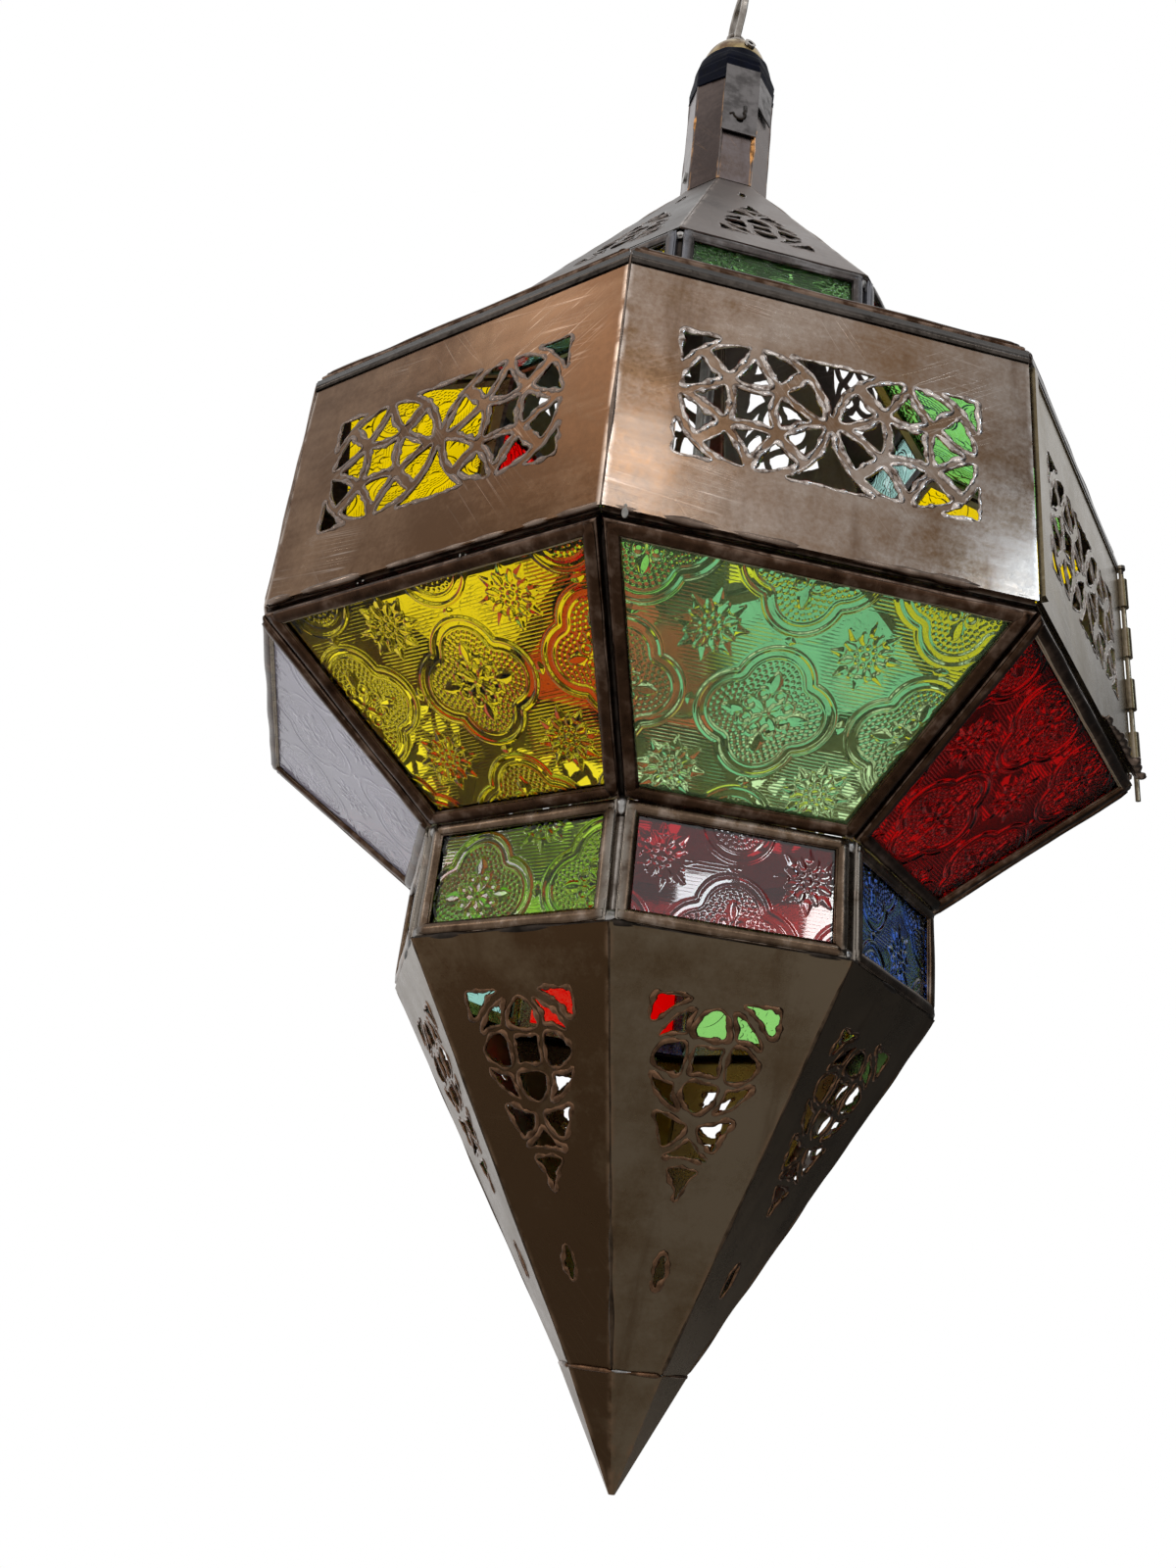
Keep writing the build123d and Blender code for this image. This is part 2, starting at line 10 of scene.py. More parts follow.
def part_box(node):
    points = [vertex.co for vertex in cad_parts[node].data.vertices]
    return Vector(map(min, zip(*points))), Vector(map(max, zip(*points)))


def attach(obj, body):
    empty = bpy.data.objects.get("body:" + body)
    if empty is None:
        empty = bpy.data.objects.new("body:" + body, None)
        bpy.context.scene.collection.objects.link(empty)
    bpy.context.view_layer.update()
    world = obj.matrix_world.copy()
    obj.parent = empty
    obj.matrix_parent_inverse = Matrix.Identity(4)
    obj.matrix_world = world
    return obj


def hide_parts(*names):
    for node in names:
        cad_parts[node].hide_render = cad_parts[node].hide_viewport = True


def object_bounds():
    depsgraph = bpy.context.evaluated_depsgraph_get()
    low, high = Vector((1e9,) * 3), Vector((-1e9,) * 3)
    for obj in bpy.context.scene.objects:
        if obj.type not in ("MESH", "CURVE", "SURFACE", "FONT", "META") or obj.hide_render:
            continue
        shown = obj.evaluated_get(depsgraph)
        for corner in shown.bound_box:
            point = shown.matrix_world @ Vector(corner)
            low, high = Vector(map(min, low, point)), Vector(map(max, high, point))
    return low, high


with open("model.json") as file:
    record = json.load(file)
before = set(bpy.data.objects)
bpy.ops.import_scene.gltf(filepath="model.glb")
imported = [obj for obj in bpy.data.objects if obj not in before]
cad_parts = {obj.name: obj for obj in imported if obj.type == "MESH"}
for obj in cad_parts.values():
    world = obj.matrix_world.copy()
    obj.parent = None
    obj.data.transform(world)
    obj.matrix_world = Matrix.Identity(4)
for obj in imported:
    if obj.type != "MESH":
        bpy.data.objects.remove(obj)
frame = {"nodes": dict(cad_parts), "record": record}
cad_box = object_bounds()
nodes = frame["nodes"]
slot_of = {part["node"]: part["material_slot"] for part in frame["record"]["subparts"]}
rng = np.random.default_rng(7)

# Units and the eight-sided plan
mm = 0.001
facets = 8
turn = 2 * math.pi / facets
half_turn = turn / 2
door_facet = 1

# Camera: place below the band's foot, heading, tilt and roll in degrees, lens for a picture 1600 px high
camera_at = (-0.14903, -0.60715, -0.28067)
camera_turns = (-10.295, 23.104, 6.283)
picture_high, picture_wide = 1600, 1200
focal_px, middle_px = 1255.19, (615.46, 798.31)
sensor = 36.0

# Pressed pattern of the glass in millimetres: square repeat, quatrefoil lobes, outlines, beads and leaves
repeat = 66.0
lobe_r, lobe_at = 18.0, 13.0
cusp = (lobe_at + math.sqrt(2 * lobe_r ** 2 - lobe_at ** 2)) / 2
outlines = ((1.3, 1.5, 0.95), (5.6, 1.0, 0.72))
ground_level, border_level, field_level = 0.50, 0.46, 0.34
bead_start, bead_row, bead_pitch, bead_r, bead_top = 8.0, 2.45, 2.65, 1.12, 0.27
leaf_foot, leaf_top, plateau = 0.1, 0.42, 1.9
bud_at, bud_l, bud_w = 14.0, 4.9, 3.1
hook_at, hook_aside, hook_r, hook_w, hook_top = 8.2, 3.7, 2.5, 1.0, 0.4
blade_start, blade_end, blade_w = 1.6, 8.6, 2.0
tip_base, tip_wide, tip_end, tip_w, tip_foot, tip_top = 8.6, 9.8, 15.8, 3.7, 0.08, 0.55
petal_start, petal_end, petal_w = 5.2, 11.4, 1.9
dot_at, dot_r, dot_top = 4.1, 1.15, 0.4
eye_r, eye_top, heart_r, heart_top = 2.0, 0.9, 2.1, 0.95
knot_l, knot_w, knot_top = 2.6, 3.2, 0.5
relief = 1.5 * mm
grid_step = 0.5 * mm
hatch_pitch = 1.65 * mm

# Share of the relief on panes pressed more softly
soft_panes = {"lower_pane_7": 0.3, "lower_neck_pane_1": 0.2}

# Where a quatrefoil's middle lies: to the right of a pane's middle and below its top edge
pattern_starts = {
    "lower_pane_1": (-4.0, 63.0),
    "lower_pane_8": (6.0, 50.0),
    "lower_neck_pane_8": (-20.0, 34.0),
    "upper_neck_pane_1": (6.0, 42.0),
}

# Rolled ridge of the channels: half width, place outside a pane's edge and level above its middle plane
rib_half, rib_out, rib_level = 2.9 * mm, 0.55 * mm, 2.5 * mm

# Solder in the grooves between the channels: depth, radius, steps, roughness and gap at the ends
groove_in, groove_r, groove_step, groove_rough, groove_trim = 4.6 * mm, 2.1 * mm, 5.0 * mm, 0.1, 2.0 * mm

# Burrs: largest piercing, steps along its edge and the weights that smooth it
largest_cut, burr_step = 45.0 * mm, 0.9 * mm
burr_smooth = (0.1, 0.2, 0.4, 0.2, 0.1)

# Rolled bead along the band's head: its height and its dark and worn tones
bead_high = 6.0 * mm
rim_dark, rim_worn = (0.012, 0.009, 0.007), (0.11, 0.094, 0.082)

# Inside of the sheets: sooty, raw and dusty tones
soot, raw_sheet, dust = (0.10, 0.075, 0.05), (0.34, 0.27, 0.18), (0.50, 0.43, 0.32)

# Painted reflection of a warm lamp, laid as copper-coloured strips on the tube's folds: corner, and where it
# starts and ends as shares of the height
copper_glint_runs = ((6, 0.36, 0.66), (0, 0.08, 0.45), (3, 0.3, 0.6))

# Tape: rise of its lower edge from the front to the back, thickness, laps, creases and rounding of corners
tape_slant, tape_t = 19.0 * mm, 1.1 * mm
lap_pitch, lap_step, crease_h = 9.0 * mm, 0.5 * mm, 0.22 * mm
tape_round = 0.12

# Dark bent wire on the tongue, partly standing in for the painted shade of a hooked slot: bend's radius,
# level above the tongue's foot, and thickness at both ends
wire_bend, wire_level = 4.0 * mm, 17.0 * mm
wire_r = (1.5 * mm, 0.9 * mm)

# Curled hem: where it starts and ends before the door's far edge, its bends, its droop and the sheet
hem_start, hem_end = 74.0 * mm, 7.0 * mm
hem_bend, hem_widens, hem_droop = 1.2 * mm, 2.6 * mm, 4.0 * mm
hem_t = 0.8 * mm

# Specks: facet, place along it, drop below the band's foot and size, in millimetres
speck_places = ((0, -82, 0.5, 1.5), (7, -30, 3.0, 0.4), (7, -33, 3.6, 0.3), (7, 24, 4.8, 0.45),
                (7, 27, 5.2, 0.3), (6, 30, 4.0, 0.5), (3, -20, 4.2, 0.5), (5, 44, 4.8, 0.4))

# Stage in metres: floor's drop below the tip, its radius, colour and where it fades, and the room's light
floor_drop, floor_r, floor_fade = 1.1, 6.0, (1.2, 3.2)
floor_colour = (0.7, 0.69, 0.67)
room_level, dim_share = 0.65, 0.94

# Ways to the dim wall of the room, on the right and behind, and to its dim corner, in front on the right
dim_side = (0.91, 0.41)
dim_front = (0.76, -0.53, 0.38)

# Lamps: place, size, power in watts and colour
lamps = {
    "key_lamp": ((1.22, -1.98, 0.60), 0.2, 4.0, (0.60, 0.80, 1.0)),
    "brow_lamp": ((0.21, -2.03, 0.8), 0.22, 1.0, (1.0, 0.97, 0.95)),
    "front_lamp": ((0.50, -1.95, -0.12), 0.11, 0.5, (0.92, 0.96, 1.0)),
    "low_lamp": ((0.76, -1.87, -0.14), 0.13, 0.8, (1.0, 0.99, 0.97)),
    "side_lamp": ((-2.01, -0.22, -0.16), 0.2, 1.5, (1.0, 0.96, 0.9)),
    "left_lamp": ((-1.72, -0.42, 0.93), 0.45, 1.7, (1.0, 0.82, 0.66)),
    "back_lamp": ((0.84, 1.47, 1.62), 0.7, 9.0, (0.92, 0.96, 1.0)),
}

# Glass colours by the record's slots, then each ring's depth of colour and shine
glass_tints = {
    "green_glass": (0.23, 0.66, 0.13),
    "red_glass": (0.60, 0.00002, 0.00002),
    "blue_glass": (0.25, 0.56, 0.50),
    "yellow_glass": (0.90, 0.64, 0.0004),
}
glass_rings = {
    "lower": (0.30, 0.2),
    "lower_neck": (0.85, 0.8),
    "shoulder": (1.0, 0.3),
    "upper_neck": (0.7, 0.5),
}

# Panes of another look: tint, shine, clearness and, on the glossiest, a coat
odd_glass = {
    # The blue pane on the left is paled and clouded as a painted reflection of bright surroundings
    "blue_glass_painted_glare": (("lower_pane_7",), (0.47, 0.44, 0.55), 0.8, 0.4),
    "front_green_glass": (("lower_pane_1",), (0.68, 0.98, 0.48), 0.2, 0.93),
    "amber_glass": (("lower_pane_8",), (0.96, 0.80, 0.02), 0.2, 1.0),
    "deep_red_glass": (("lower_pane_2",), (0.38, 0.0002, 0.0004), 0.05, 1.0),
    "wine_glass": (("lower_neck_pane_1",), (0.42, 0.001, 0.010), 1.0, 1.0, 0.6),
    "leaf_glass": (("lower_neck_pane_8",), (0.44, 0.72, 0.04), 0.7, 1.0),
    "deep_blue_glass": (("lower_neck_pane_2",), (0.04, 0.10, 0.40), 0.6, 1.0),
    "pale_red_glass": (("shoulder_pane_1", "shoulder_pane_5"), (0.50, 0.07, 0.04), 0.3, 1.0),
    "pale_yellow_glass": (("shoulder_pane_6",), (0.90, 0.82, 0.25), 0.2, 1.0),
    "eave_green_glass": (("upper_neck_pane_1",), (0.42, 0.95, 0.30), 0.3, 0.97),
}


class Wire:
    """A socket of a node tree; sums and products of wires add Math nodes."""

    def __init__(self, tree, socket=None):
        self.tree, self.socket = tree, socket

    def node(self, kind, values=None, out=0, **settings):
        """A node of this kind with its settings, then the values or wires of its sockets."""
        made = self.tree.nodes.new("ShaderNode" + kind)
        for name, value in settings.items():
            if name == "stops":
                ramp = made.color_ramp.elements
                while len(ramp) < len(value):
                    ramp.new(1.0)
                for stop, (place, colour) in zip(ramp, value):
                    stop.position, stop.color = place, (*colour, 1.0)
            else:
                setattr(made, name, value)
        for name, value in (values or {}).items():
            if isinstance(value, Wire):
                self.tree.links.new(value.socket, made.inputs[name])
            else:
                made.inputs[name].default_value = value
        return Wire(self.tree, made.outputs[out] if made.outputs else None)

    def math(self, operation, *values):
        """A Math node on this wire and further values."""
        return self.node("Math", dict(enumerate((self, *values))), operation=operation)

    def __add__(self, other):
        return self.math("ADD", other)

    __radd__ = __add__

    def __mul__(self, other):
        return self.math("MULTIPLY", other)

    __rmul__ = __mul__

    def __sub__(self, other):
        return self.math("SUBTRACT", other)

    def __rsub__(self, other):
        return self.node("Math", {0: other, 1: self}, operation="SUBTRACT")

    def __truediv__(self, other):
        return self.math("DIVIDE", other)

    def __abs__(self):
        return self.math("ABSOLUTE")

    def step(self, low, high):
        """Smooth step from 0 at low to 1 at high."""
        values = {"Value": self, "From Min": low, "From Max": high}
        return self.node("MapRange", values, interpolation_type="SMOOTHSTEP")

    def ramp(self, *stops):
        """Colour ramp over (place, colour) stops."""
        return self.node("ValToRGB", {"Fac": self}, stops=stops)

    def mix(self, first, second):
        """Colour from first to second as this wire goes from 0 to 1."""
        ends = [(*end, 1.0) if isinstance(end, tuple) else end for end in (first, second)]
        return self.node("Mix", {0: self, 6: ends[0], 7: ends[1]}, out=2, data_type="RGBA")

    def vector(self, x, y, z):
        """Vector out of three values or wires."""
        return self.node("CombineXYZ", {0: x, 1: y, 2: z})

    def parts(self):
        """The three wires of a vector."""
        return [self.node("SeparateXYZ", {0: self}, out=k) for k in range(3)]

    def noise(self, scale, detail=3.0, rough=0.55, stretch=None):
        """Noise over this vector, in features per metre, drawn out by stretch."""
        at = self
        if stretch:
            at = self.node("VectorMath", {0: self, 1: stretch}, operation="MULTIPLY")
        values = {"Vector": at, "Scale": scale, "Detail": detail, "Roughness": rough}
        return self.node("TexNoise", values)


def new_finish(name):
    """Material with an empty tree, and the wire of its object coordinates."""
    material = bpy.data.materials.new(name)
    material.use_nodes = True
    material.node_tree.nodes.clear()
    return material, Wire(material.node_tree).node("TexCoord", out=3)


def surface(at, values):
    """Shader of a finish, with its values or wires, on the tree's output."""
    shader = at.node("BsdfPrincipled", values)
    at.node("OutputMaterial", {"Surface": shader})


def bump(height):
    """Normal from a height wire in metres."""
    return height.node("Bump", {"Height": height, "Distance": 1.0, "Strength": 1.0})


def facet_coords(at):
    """Facet number, distance along a facet from its middle, level, and distance to the nearest corner."""
    x, y, z = at.parts()
    number = (x.math("ARCTAN2", 0 - y) / turn).math("ROUND")
    angle = number * turn
    cosine, sine = angle.math("COSINE"), angle.math("SINE")
    along = x * cosine + y * sine
    outward = x * sine - y * cosine
    to_corner = outward * math.tan(half_turn) - abs(along)
    return number, along, z, to_corner


def facet_painted_light(number):
    """Painted light and shade of a facet, from 0 for shaded brown to 1 for lit pale; the front one is lit
    pale and the left one shaded brown.
    """
    return (number * 2.4 + 1.0).math("SINE") * 0.5 + 0.5


def inward(at):
    """1 on faces that look towards the lantern's middle, 0 on the others."""
    facing = at.node("TexCoord", out=1)
    level = at.node("VectorMath", {0: at, 1: (1.0, 1.0, 0.0)}, operation="MULTIPLY")
    outward = at.node("VectorMath", {0: level, 1: facing}, out=1, operation="DOT_PRODUCT")
    return 1 - outward.step(-0.03, 0.0)


def dusty_inside(at, colour, blotch, grain):
    """Colour and share of metal of a sheet whose inside is sooty, raw and dusty."""
    inside = inward(at)
    dull = (blotch * 0.7 + grain * 0.3).ramp((0.3, soot), (0.5, raw_sheet), (0.75, dust))
    return inside.mix(colour, dull), 1 - 0.85 * inside


def scratches(along, z, lean, length_scale, seed):
    """Thin lines that lean over the sheet, where a broad noise lets them through."""
    lean = math.radians(lean)
    across = along * math.cos(lean) + z * math.sin(lean)
    down = z * math.cos(lean) - along * math.sin(lean)
    line = abs(across.vector(across * 260.0, down * length_scale, seed).noise(1.0, 1.0) - 0.5)
    patch = across.vector(across * 14.0, down * 14.0, seed).noise(1.0, 1.0)
    return (1 - line.step(0.003, 0.012)) * patch.step(0.55, 0.72)


def sheet_finish(name, dark, brown, pale, worn, rough=0.34, wear=3.0 * mm, scored=0.5, dents=1.0, tone=0.35,
                 mottle=1.0, painted_lit_facet=None, dusty=False, rim=None):
    """Patinated sheet: blotches, facets paler or darker as painted light and shade, rubbed corners, scratches
    and dents.

    Where asked, one facet gets extra painted light, the inside is dusty, and a dark rolled rim starts at a
    level.
    """
    material, at = new_finish(name)
    number, along, z, to_corner = facet_coords(at)
    facet_light = facet_painted_light(number)
    # Painted light: the facet numbered painted_lit_facet is made paler still
    if painted_lit_facet is not None:
        facet_light = facet_light + number.math("COMPARE", painted_lit_facet, 0.1)
    broad = at.noise(7.0, 2.0)
    blotch = at.noise(26.0, 6.0, 0.62)
    grain = at.noise(420.0, 3.0, 0.7)
    rolled = at.vector(along * 5.0, z * 150.0, number * 3.1).noise(1.0, 4.0)
    shade = ((broad + blotch) * 0.45 - 0.45) * mottle + 0.45
    # Painted light and shade: each facet paler or darker by its facet light, weighted by tone
    shade = shade + (facet_light - 0.5) * tone + (grain - 0.5) * 0.25 + (rolled - 0.5) * 0.22
    colour = shade.ramp((0.22, dark), (0.46, brown), (0.72, pale))
    drips = at.vector(along * 38.0, z * 6.0, number * 5.3).noise(1.0, 5.0, 0.6)
    colour = (drips.step(0.52, 0.72) * 0.65).mix(colour, dark)
    rub = (1 - to_corner.step(0.0, wear)) * at.noise(90.0, 4.0).step(0.38, 0.62)
    lines = scratches(along, z, 35.0, 6.0, 1.7)
    for lean, length_scale, seed in ((-58.0, 9.0, 4.2), (84.0, 5.0, 8.9)):
        lines = lines.math("MAXIMUM", scratches(along, z, lean, length_scale, seed))
    lines = lines * scored
    colour = rub.math("MAXIMUM", lines).mix(colour, worn)
    gloss = rough + (blotch - 0.5) * 0.34 + (grain - 0.5) * 0.16 - lines * 0.1
    swell = at.noise(16.0, 2.0) * (0.5 * dents * mm) + at.noise(60.0, 2.0) * (0.08 * dents * mm)
    fine = grain * 0.012 * mm + rolled * (0.015 * mm) - lines * (0.03 * mm)
    height, metal = swell + fine, 1.0
    if rim:
        rolled_rim = z.step(rim - 0.4 * mm, rim)
        rim_shade = blotch * 0.6 + grain * 0.4
        across = (z - rim) / bead_high - 0.5
        height = height - rolled_rim * across * across * bead_high
        colour = rolled_rim.mix(colour, rim_shade.ramp((0.35, rim_dark), (0.75, rim_worn)))
    if dusty:
        colour, metal = dusty_inside(at, colour, blotch, grain)
    surface(at, {"Base Color": colour, "Metallic": metal, "Roughness": gloss, "Normal": bump(height)})
    return material


def channel_finish(name, dark, body, worn, rough, rubbing, tin=None, dusty=False):
    """Folded channel: patina, rubbed ridges and patches; tinned corners and a dusty inside where asked."""
    material, at = new_finish(name)
    blotch = at.noise(48.0, 6.0, 0.65)
    streak = at.noise(160.0, 4.0, 0.6)
    grain = at.noise(700.0, 2.0)
    colour = (blotch * 0.7 + streak * 0.3).ramp((0.34, dark), (0.52, body), (0.7, worn))
    edge = at.node("NewGeometry", out=7)
    rubbed = (edge.step(0.505, 0.56) * rubbing * streak.step(0.36, 0.6)).math("MINIMUM", 1.0)
    colour = rubbed.mix(colour, worn)
    if tin:
        to_corner = facet_coords(at)[3]
        colour = ((1 - to_corner.step(3.5 * mm, 7.5 * mm)) * blotch.step(0.3, 0.52)).mix(colour, tin)
    gloss = rough + (blotch - 0.5) * 0.3 + (grain - 0.5) * 0.14
    normal = bump(at.noise(70.0, 3.0) * (0.22 * mm) + grain * (0.02 * mm))
    metal = 1.0
    if dusty:
        colour, metal = dusty_inside(at, colour, blotch, grain)
    surface(at, {"Base Color": colour, "Metallic": metal, "Roughness": gloss, "Normal": normal})
    return material


def bright_metal(name, dark, clean, rough, dirt, spots=120.0, painted_facet_shade=False):
    """Plain metal part with dirt in blotches and fine turning marks; where asked, painted shade dulls it on
    the facets painted brown.
    """
    material, at = new_finish(name)
    blotch = at.noise(spots, 5.0, 0.6)
    marks = at.noise(260.0, 2.0, 0.5, (1.0, 1.0, 6.0))
    cover = blotch.step(0.35, 0.7) * dirt
    # Painted shade: dull the metal on the facets whose painted facet light is brown
    if painted_facet_shade:
        cover = cover.math("MAXIMUM", 0.85 - 0.85 * facet_painted_light(facet_coords(at)[0]))
    colour = cover.mix(clean, dark)
    gloss = rough + (marks - 0.5) * 0.2 + blotch.step(0.4, 0.75) * 0.2
    normal = bump(marks * (0.02 * mm) + blotch * (0.06 * mm))
    surface(at, {"Base Color": colour, "Metallic": 1.0, "Roughness": gloss, "Normal": normal})
    return material


def pressed_glass(name, tint, shine=0.2, clear=1.0, coat=0.0):
    """Coloured glass with faint streaks in its body and fine hatching on the pattern's ground."""
    material, at = new_finish(name)
    streak = at.noise(22.0, 3.0, 0.5, (1.0, 1.0, 0.35))
    deep = tuple(c * 0.82 for c in tint)
    colour = streak.step(0.3, 0.7).mix(deep, tint)
    pattern = at.node("Attribute", out=1, attribute_name="pattern")
    ground = at.node("Attribute", out=2, attribute_name="ground")
    across = pattern.parts()[1]
    lines = (across * (2 * math.pi / hatch_pitch)).math("SINE").math("MAXIMUM", 0.0)
    hatch = lines.math("POWER", 2.0) * ground
    wave = at.noise(45.0, 2.0)
    normal = bump(hatch * (0.12 * mm) + wave * (0.05 * mm))
    surface(at, {"Base Color": colour, "Roughness": 0.02, "Transmission Weight": clear, "IOR": 1.45,
                 "Specular Tint": (shine, shine, shine, 1.0), "Coat Weight": coat, "Normal": normal})
    return material


def plain_finish(name, colour, rough, lumps, lump_scale, values=None):
    """Non-metal finish with mottled colour and roughness, and a soft lumpy surface."""
    material, at = new_finish(name)
    mottle = at.noise(lump_scale, 4.0, 0.6)
    tone = mottle.step(0.3, 0.7).mix(tuple(c * 0.7 for c in colour), tuple(min(c * 1.3, 1.0) for c in colour))
    normal = bump(mottle * lumps)
    surface(at, {"Base Color": tone, "Roughness": rough + (mottle - 0.5) * 0.25, "Normal": normal,
                 **(values or {})})
    return material


def dress(material, *names):
    """Give CAD nodes a finish."""
    for name in names:
        nodes[name].data.materials.clear()
        nodes[name].data.materials.append(material)


def add_object(name, data):
    """New object in the scene."""
    made = bpy.data.objects.new(name, data)
    bpy.context.scene.collection.objects.link(made)
    return made


def piece(name, points, faces, material, body):
    """Mesh piece in the row frame, held inside the solids' box, that rides on a body."""
    mesh = bpy.data.meshes.new(name)
    mesh.from_pydata(np.clip(points, *cad_box).tolist(), [], faces)
    mesh.materials.append(material)
    mesh.polygons.foreach_set("use_smooth", [True] * len(mesh.polygons))
    made = add_object(name, mesh)
    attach(made, body)
    return made


def node_points(name):
    """Vertices of a CAD node as an array."""
    return np.array([v.co for v in nodes[name].data.vertices])


def wave_noise(count, spread, closed=True):
    """Even random values about 0, smoothed over spread steps."""
    raw = rng.normal(size=count + 4 * spread)
    kernel = np.hanning(2 * spread + 3)
    first = count if closed else 0
    if closed:
        raw = np.tile(raw[:count], 3)
    smooth = np.convolve(raw, kernel / kernel.sum(), "same")[first:first + count]
    return smooth / max(smooth.std(), 1e-9)


def unit(vectors):
    """Vectors of length 1."""
    return vectors / np.maximum(np.linalg.norm(vectors, axis=-1, keepdims=True), 1e-12)


def sweep(path, outward, radius, sides=7, closed=True, flat=1.0):
    """Points and faces of a bead along a path, with its radius at each point and its height's share of it."""
    ahead, behind = np.roll(path, -1, 0), np.roll(path, 1, 0)
    if not closed:
        ahead[-1], behind[0] = path[-1], path[0]
    along = unit(ahead - behind)
    aside = unit(np.cross(along, outward))
    upward = np.cross(aside, along)
    angles = np.arange(sides) * (2 * math.pi / sides)
    rings = (path[:, None] + radius[:, None, None] * (np.cos(angles)[None, :, None] * aside[:, None]
             + flat * np.sin(angles)[None, :, None] * upward[:, None]))
    index = np.arange(len(path) * sides).reshape(-1, sides)
    index = np.column_stack([index, index[:, 0]])
    if closed:
        faces = grid_quads(np.concatenate([index, index[:1]])).tolist()
    else:
        faces = grid_quads(index).tolist() + [index[0, -2::-1].tolist(), index[-1, :-1].tolist()]
    return rings.reshape(-1, 3), faces


def joined(name, parts, material, body="lantern"):
    """One piece out of several meshes, with one material."""
    faces, offset = [], 0
    for own_points, own_faces in parts:
        faces += [tuple(v + offset for v in face) for face in own_faces]
        offset += len(own_points)
    points = np.concatenate([own_points for own_points, own_faces in parts])
    piece(name, points, faces, material, body)


def grid_quads(index):
    """Faces between the rows and columns of a grid of vertex numbers."""
    return np.stack([index[:-1, :-1], index[:-1, 1:], index[1:, 1:], index[1:, :-1]], -1).reshape(-1, 4)


def ring_shape(name):
    """Corner radius and level at the foot and head of an eight-sided node."""
    points = node_points(name)
    radius = np.hypot(points[:, 0], points[:, 1])
    low, high = points[:, 2].min(), points[:, 2].max()
    at_low, at_high = points[:, 2] < low + mm, points[:, 2] > high - mm
    return radius[at_low].max(), low, radius[at_high].max(), high


def facet_axes(number):
    """Level ways out of a facet and to its right."""
    sine, cosine = math.sin(number * turn), math.cos(number * turn)
    return np.array([sine, -cosine, 0.0]), np.array([cosine, sine, 0.0])


def facet_normal(ring, number):
    """Outward normal of one facet of a ring."""
    r_low, low, r_high, high = ring
    lean = np.array([0, 0, (r_low - r_high) * math.cos(half_turn)])
    return unit(facet_axes(number)[0] * (high - low) + lean)


def corner_point(radius, level, number):
    """Point on the corner between facet number and the next."""
    angle = (number + 0.5) * turn
    return np.array([radius * math.sin(angle), -radius * math.cos(angle), level])


def leaf(along, aside, start, end, width, tip=0.75):
    """Height of a pointed leaf between start and end, from 0 at its rim to 1 on its sharp midrib."""
    share = np.clip((along - start) / (end - start), 0, 1)
    half = width * np.sin(math.pi * share) ** tip + 1e-6
    return np.clip(1 - aside / half, 0, 1) * ((along > start) & (along < end))


def leaf_level(share):
    """Level of a leaf with a flat crown, from its share of the height."""
    return field_level + leaf_foot + leaf_top * np.minimum(1, plateau * share)


def ridge(distance, width):
    """Height of a rounded line."""
    return np.clip(1 - (distance / width) ** 2, 0, 1)


def dome(distance, radius):
    """Height of a round button."""
    return np.sqrt(ridge(distance, radius))


